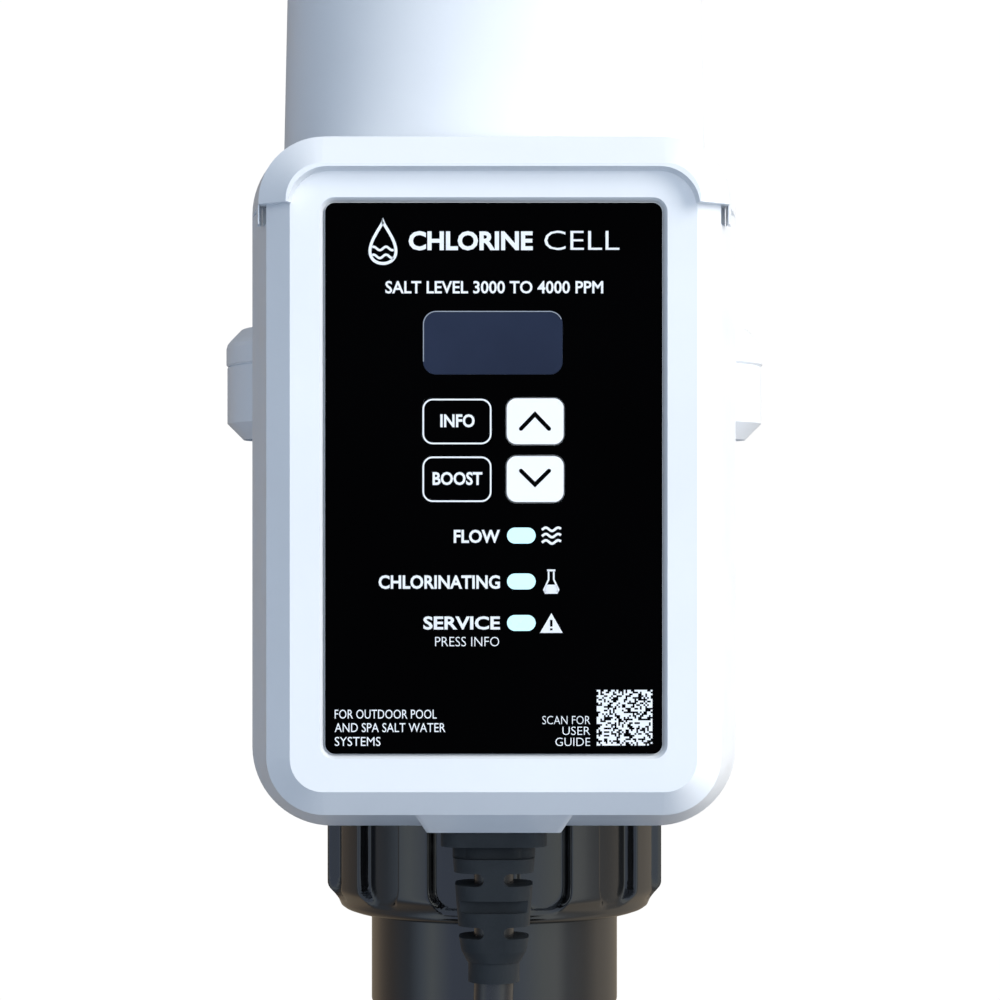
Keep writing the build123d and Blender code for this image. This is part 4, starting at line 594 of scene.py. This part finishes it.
def stroke(points, width, closed=False):
    """Outlines of a line of a given width through (x, z) points: one quad for each run, with its
    ends cut along the bisector of each bend so that neighbours share an edge."""
    line = np.array(points, float)
    ahead = np.roll(line, -1, axis=0) - line
    behind = line - np.roll(line, 1, axis=0)
    if not closed:
        ahead[-1] = behind[-1]
        behind[0] = ahead[0]
    ahead /= np.linalg.norm(ahead, axis=1)[:, None]
    behind /= np.linalg.norm(behind, axis=1)[:, None]
    bisector = ahead + behind
    bisector /= np.linalg.norm(bisector, axis=1)[:, None]
    side = np.stack([-bisector[:, 1], bisector[:, 0]], axis=1)
    reach = width / 2 / np.maximum((bisector * ahead).sum(axis=1), 0.35)
    left = line + side * reach[:, None]
    right = line - side * reach[:, None]
    runs = range(len(line) if closed else len(line) - 1)
    pairs = [(run, (run + 1) % len(line)) for run in runs]
    return [[tuple(right[i]), tuple(right[j]), tuple(left[j]), tuple(left[i])] for i, j in pairs]


def rounded(x0, z0, x1, z1, radius, steps=8):
    """Points round a rectangle with rounded corners."""
    points = []
    for cx, cz, start in (
        (x1 - radius, z1 - radius, 0),
        (x0 + radius, z1 - radius, 90),
        (x0 + radius, z0 + radius, 180),
        (x1 - radius, z0 + radius, 270),
    ):
        for step in range(steps + 1):
            angle = math.radians(start + 90 * step / steps)
            points.append((cx + radius * math.cos(angle), cz + radius * math.sin(angle)))
    return points


def ink_text(name, words, x0, z0, x1, z1, y=PRINT_Y, bold=0.0):
    """Makes printed words that fill the box from (x0, z0) to (x1, z1) in millimetres."""
    data = bpy.data.curves.new(name, "FONT")
    data.body = words
    data.size = 1.0
    data.offset = bold
    data.fill_mode = "FRONT"
    data.resolution_u = 3
    typed = bpy.data.objects.new(name + "_typed", data)
    bpy.context.scene.collection.objects.link(typed)
    flat = bpy.data.meshes.new_from_object(typed.evaluated_get(bpy.context.evaluated_depsgraph_get()))
    bpy.data.objects.remove(typed)
    bpy.data.curves.remove(data)
    points = np.zeros(len(flat.vertices) * 3)
    flat.vertices.foreach_get("co", points)
    points = points.reshape(-1, 3)
    low, high = points.min(axis=0), points.max(axis=0)
    share = (points - low) / np.maximum(high - low, 1e-9)
    points[:, 0] = (x0 + share[:, 0] * (x1 - x0)) * MM
    points[:, 2] = (z0 + share[:, 1] * (z1 - z0)) * MM
    points[:, 1] = y
    flat.vertices.foreach_set("co", points.ravel())
    flat.polygons.foreach_set("use_smooth", np.zeros(len(flat.polygons), dtype=bool))
    flat.update()
    if sum(face.normal.y for face in flat.polygons) > 0:
        flat.flip_normals()
    flat.name = name
    flat.materials.clear()
    made = bpy.data.objects.new(name, flat)
    bpy.context.scene.collection.objects.link(made)
    thick = made.modifiers.new("ink", "SOLIDIFY")
    thick.thickness = INK_T
    thick.offset = -1.0
    return made


ink_white = surface("ink_white", (0.88, 0.90, 0.92), 0.5, grain=1500, bump=0.03, worn=0.04, shine=0.2)
legends = [
    ink_text("heading", "CHLORINE", -21.5, 206.4, 9.9, 211.3, bold=0.034),
    ink_text("heading_end", "CELL", 12.8, 206.5, 31.8, 211.4, bold=-0.008),
    ink_text("salt_range", "SALT LEVEL 3000 TO 4000 PPM", -27.4, 195.5, 27.7, 198.7, bold=0.018),
    ink_text("flow_name", "FLOW", -10.1, 132.4, 1.6, 135.8, bold=0.028),
    ink_text("chlorine_name", "CHLORINATING", -29.1, 120.8, 1.6, 124.3, bold=0.028),
    ink_text("service_name", "SERVICE", -17.8, 110.5, 1.6, 113.9, bold=0.028),
    ink_text("info_note", "PRESS INFO", -14.8, 106.3, 1.4, 108.7, bold=-0.01),
    ink_text("use_note_1", "FOR OUTDOOR POOL", -40.2, 88.0, -14.4, 90.3),
    ink_text("use_note_2", "AND SPA SALT WATER", -40.2, 84.6, -12.2, 86.9),
    ink_text("use_note_3", "SYSTEMS", -40.2, 81.1, -28.6, 83.4),
    ink_text("guide_note_1", "SCAN FOR", 12.3, 86.6, 24.4, 88.7, bold=-0.01),
    ink_text("guide_note_2", "USER", 17.4, 83.9, 24.4, 86.0, bold=-0.01),
    ink_text("guide_note_3", "GUIDE", 15.6, 81.1, 24.4, 83.2, bold=-0.01),
]

# water drop beside the heading, a round foot drawn up to a point, with a wave across it
drop = []
for step in range(48):
    turn = 2 * math.pi * step / 48
    narrow = math.sin(turn / 2) ** 1.4
    drop.append((-28.0 + 4.6 * math.sin(turn) * narrow, 208.6 + 5.3 * math.cos(turn) - 0.2))
drop_line = stroke(drop, 0.75, closed=True)
for low in (206.9, 204.9):
    wave = [(-28.0 + dx, low + 0.45 * math.sin(dx * 2.0)) for dx in np.linspace(-2.7, 2.7, 15)]
    drop_line += stroke(wave, 0.6)
legends.append(ink_shape("drop_symbol", drop_line))

# waves, a flask and a triangle beside the lights
waves = []
for low in (132.7, 134.3, 135.9):
    row = [(12.2 + dx, low + 0.42 * math.sin((dx - 0.2) * 2.0)) for dx in np.linspace(0, 4.8, 25)]
    waves += stroke(row, 0.62)
legends.append(ink_shape("wave_symbol", waves))
flask = [(13.9, 125.4), (13.9, 123.2), (12.7, 120.6), (13.1, 119.8), (16.0, 119.8), (16.4, 120.6)]
flask += [(15.2, 123.2), (15.2, 125.4)]
liquid = [(12.9, 120.0), (16.2, 120.0), (16.2, 120.7), (15.7, 121.9), (13.4, 121.9), (12.9, 120.7)]
flask_line = stroke(flask, 0.42) + stroke([(13.5, 125.5), (15.6, 125.5)], 0.5) + [liquid]
legends.append(ink_shape("flask_symbol", flask_line))
legends.append(ink_shape("triangle_symbol", [[(14.6, 114.7), (11.7, 109.7), (17.45, 109.7)]]))
mark = stroke([(14.57, 113.0), (14.57, 111.3)], 0.62) + stroke([(14.57, 110.85), (14.57, 110.35)], 0.62)
MARK_LIFT = 0.00004  # the black mark is printed over the white triangle
warning_mark = ink_shape("triangle_mark", mark, PRINT_Y - MARK_LIFT)

# a square of random white cells that encodes nothing
chance = random.Random(7)
CODE_CELLS = 31
CODE_CHANCE = 0.54  # share of the cells that are white
CODE_LEFT, CODE_LOW, CODE_SIZE = 26.05, 81.2, 14.1
cell_w = CODE_SIZE / CODE_CELLS
code = []
for row in range(CODE_CELLS):
    for column in range(CODE_CELLS):
        if chance.random() < CODE_CHANCE:
            x0, z0 = CODE_LEFT + column * cell_w, CODE_LOW + row * cell_w
            code.append([(x0, z0), (x0 + cell_w, z0), (x0 + cell_w, z0 + cell_w), (x0, z0 + cell_w)])
legends.append(ink_shape("code_cells", code))
for legend in legends + [warning_mark]:
    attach(legend, "generator")
paint(ink_white, *legends)
ink_black = surface("ink_black", (0.002, 0.002, 0.002), 0.5, grain=1500, bump=0.03, worn=0.1, shine=0.0)
paint(ink_black, warning_mark)

# ---------------------------------------------------------------- display rim highlight
# A thin pale grey line lies on the overlay round the top and the left of the display's window.
# It is a painted highlight: the light caught by the window's edge, drawn as a line of grey.

window_edge = rounded(-17.75, 175.1, 17.35, 190.98, 3.2)
# painted highlight: a pale grey line on the window's top and left edges only
window_rim_highlight = ink_shape("display_rim_highlight", stroke(window_edge[2:19], 0.24))
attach(window_rim_highlight, "generator")
rim_highlight_grey = surface("rim_highlight_grey", (0.30, 0.33, 0.38), 0.5, grain=1500, bump=0.03, shine=0.2)
paint(rim_highlight_grey, window_rim_highlight)

# ---------------------------------------------------------------- key legends
# Each key carries its own print: a white outline and a word on the black keys, a black arrow head
# on the white ones.

KEY_PRINT_Y = -0.10364
WORD_X = -9.15  # middle of the words on the black keys
for name, words, body, foot, half in (
    ("info", "INFO", "info_button", 157.35, 4.35),
    ("boost", "BOOST", "boost_button", 142.75, 6.3),
):
    edge = rounded(-17.8, foot + 0.25, -0.75, foot + 11.35, 2.4)
    outline = ink_shape(name + "_outline", stroke(edge, 0.42, closed=True), KEY_PRINT_Y)
    box = (WORD_X - half, foot + 4.3, WORD_X + half, foot + 7.65)
    typed = ink_text(name + "_word", words, *box, KEY_PRINT_Y, 0.028)
    for shown in (outline, typed):
        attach(shown, body)
    paint(ink_white, outline, typed)
for name, body, feet, apex in (
    ("up", "up_button", 161.3, 165.0),
    ("down", "down_button", 150.7, 147.2),
):
    ends = [(6.9, feet), (14.0, feet)]
    caps = [rounded(x - 0.5, z - 0.5, x + 0.5, z + 0.5, 0.49) for x, z in ends]
    head = stroke([ends[0], (10.45, apex), ends[1]], 1.05)
    arrow = ink_shape(name + "_arrow", head + caps, KEY_PRINT_Y)
    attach(arrow, body)
    paint(ink_black, arrow)
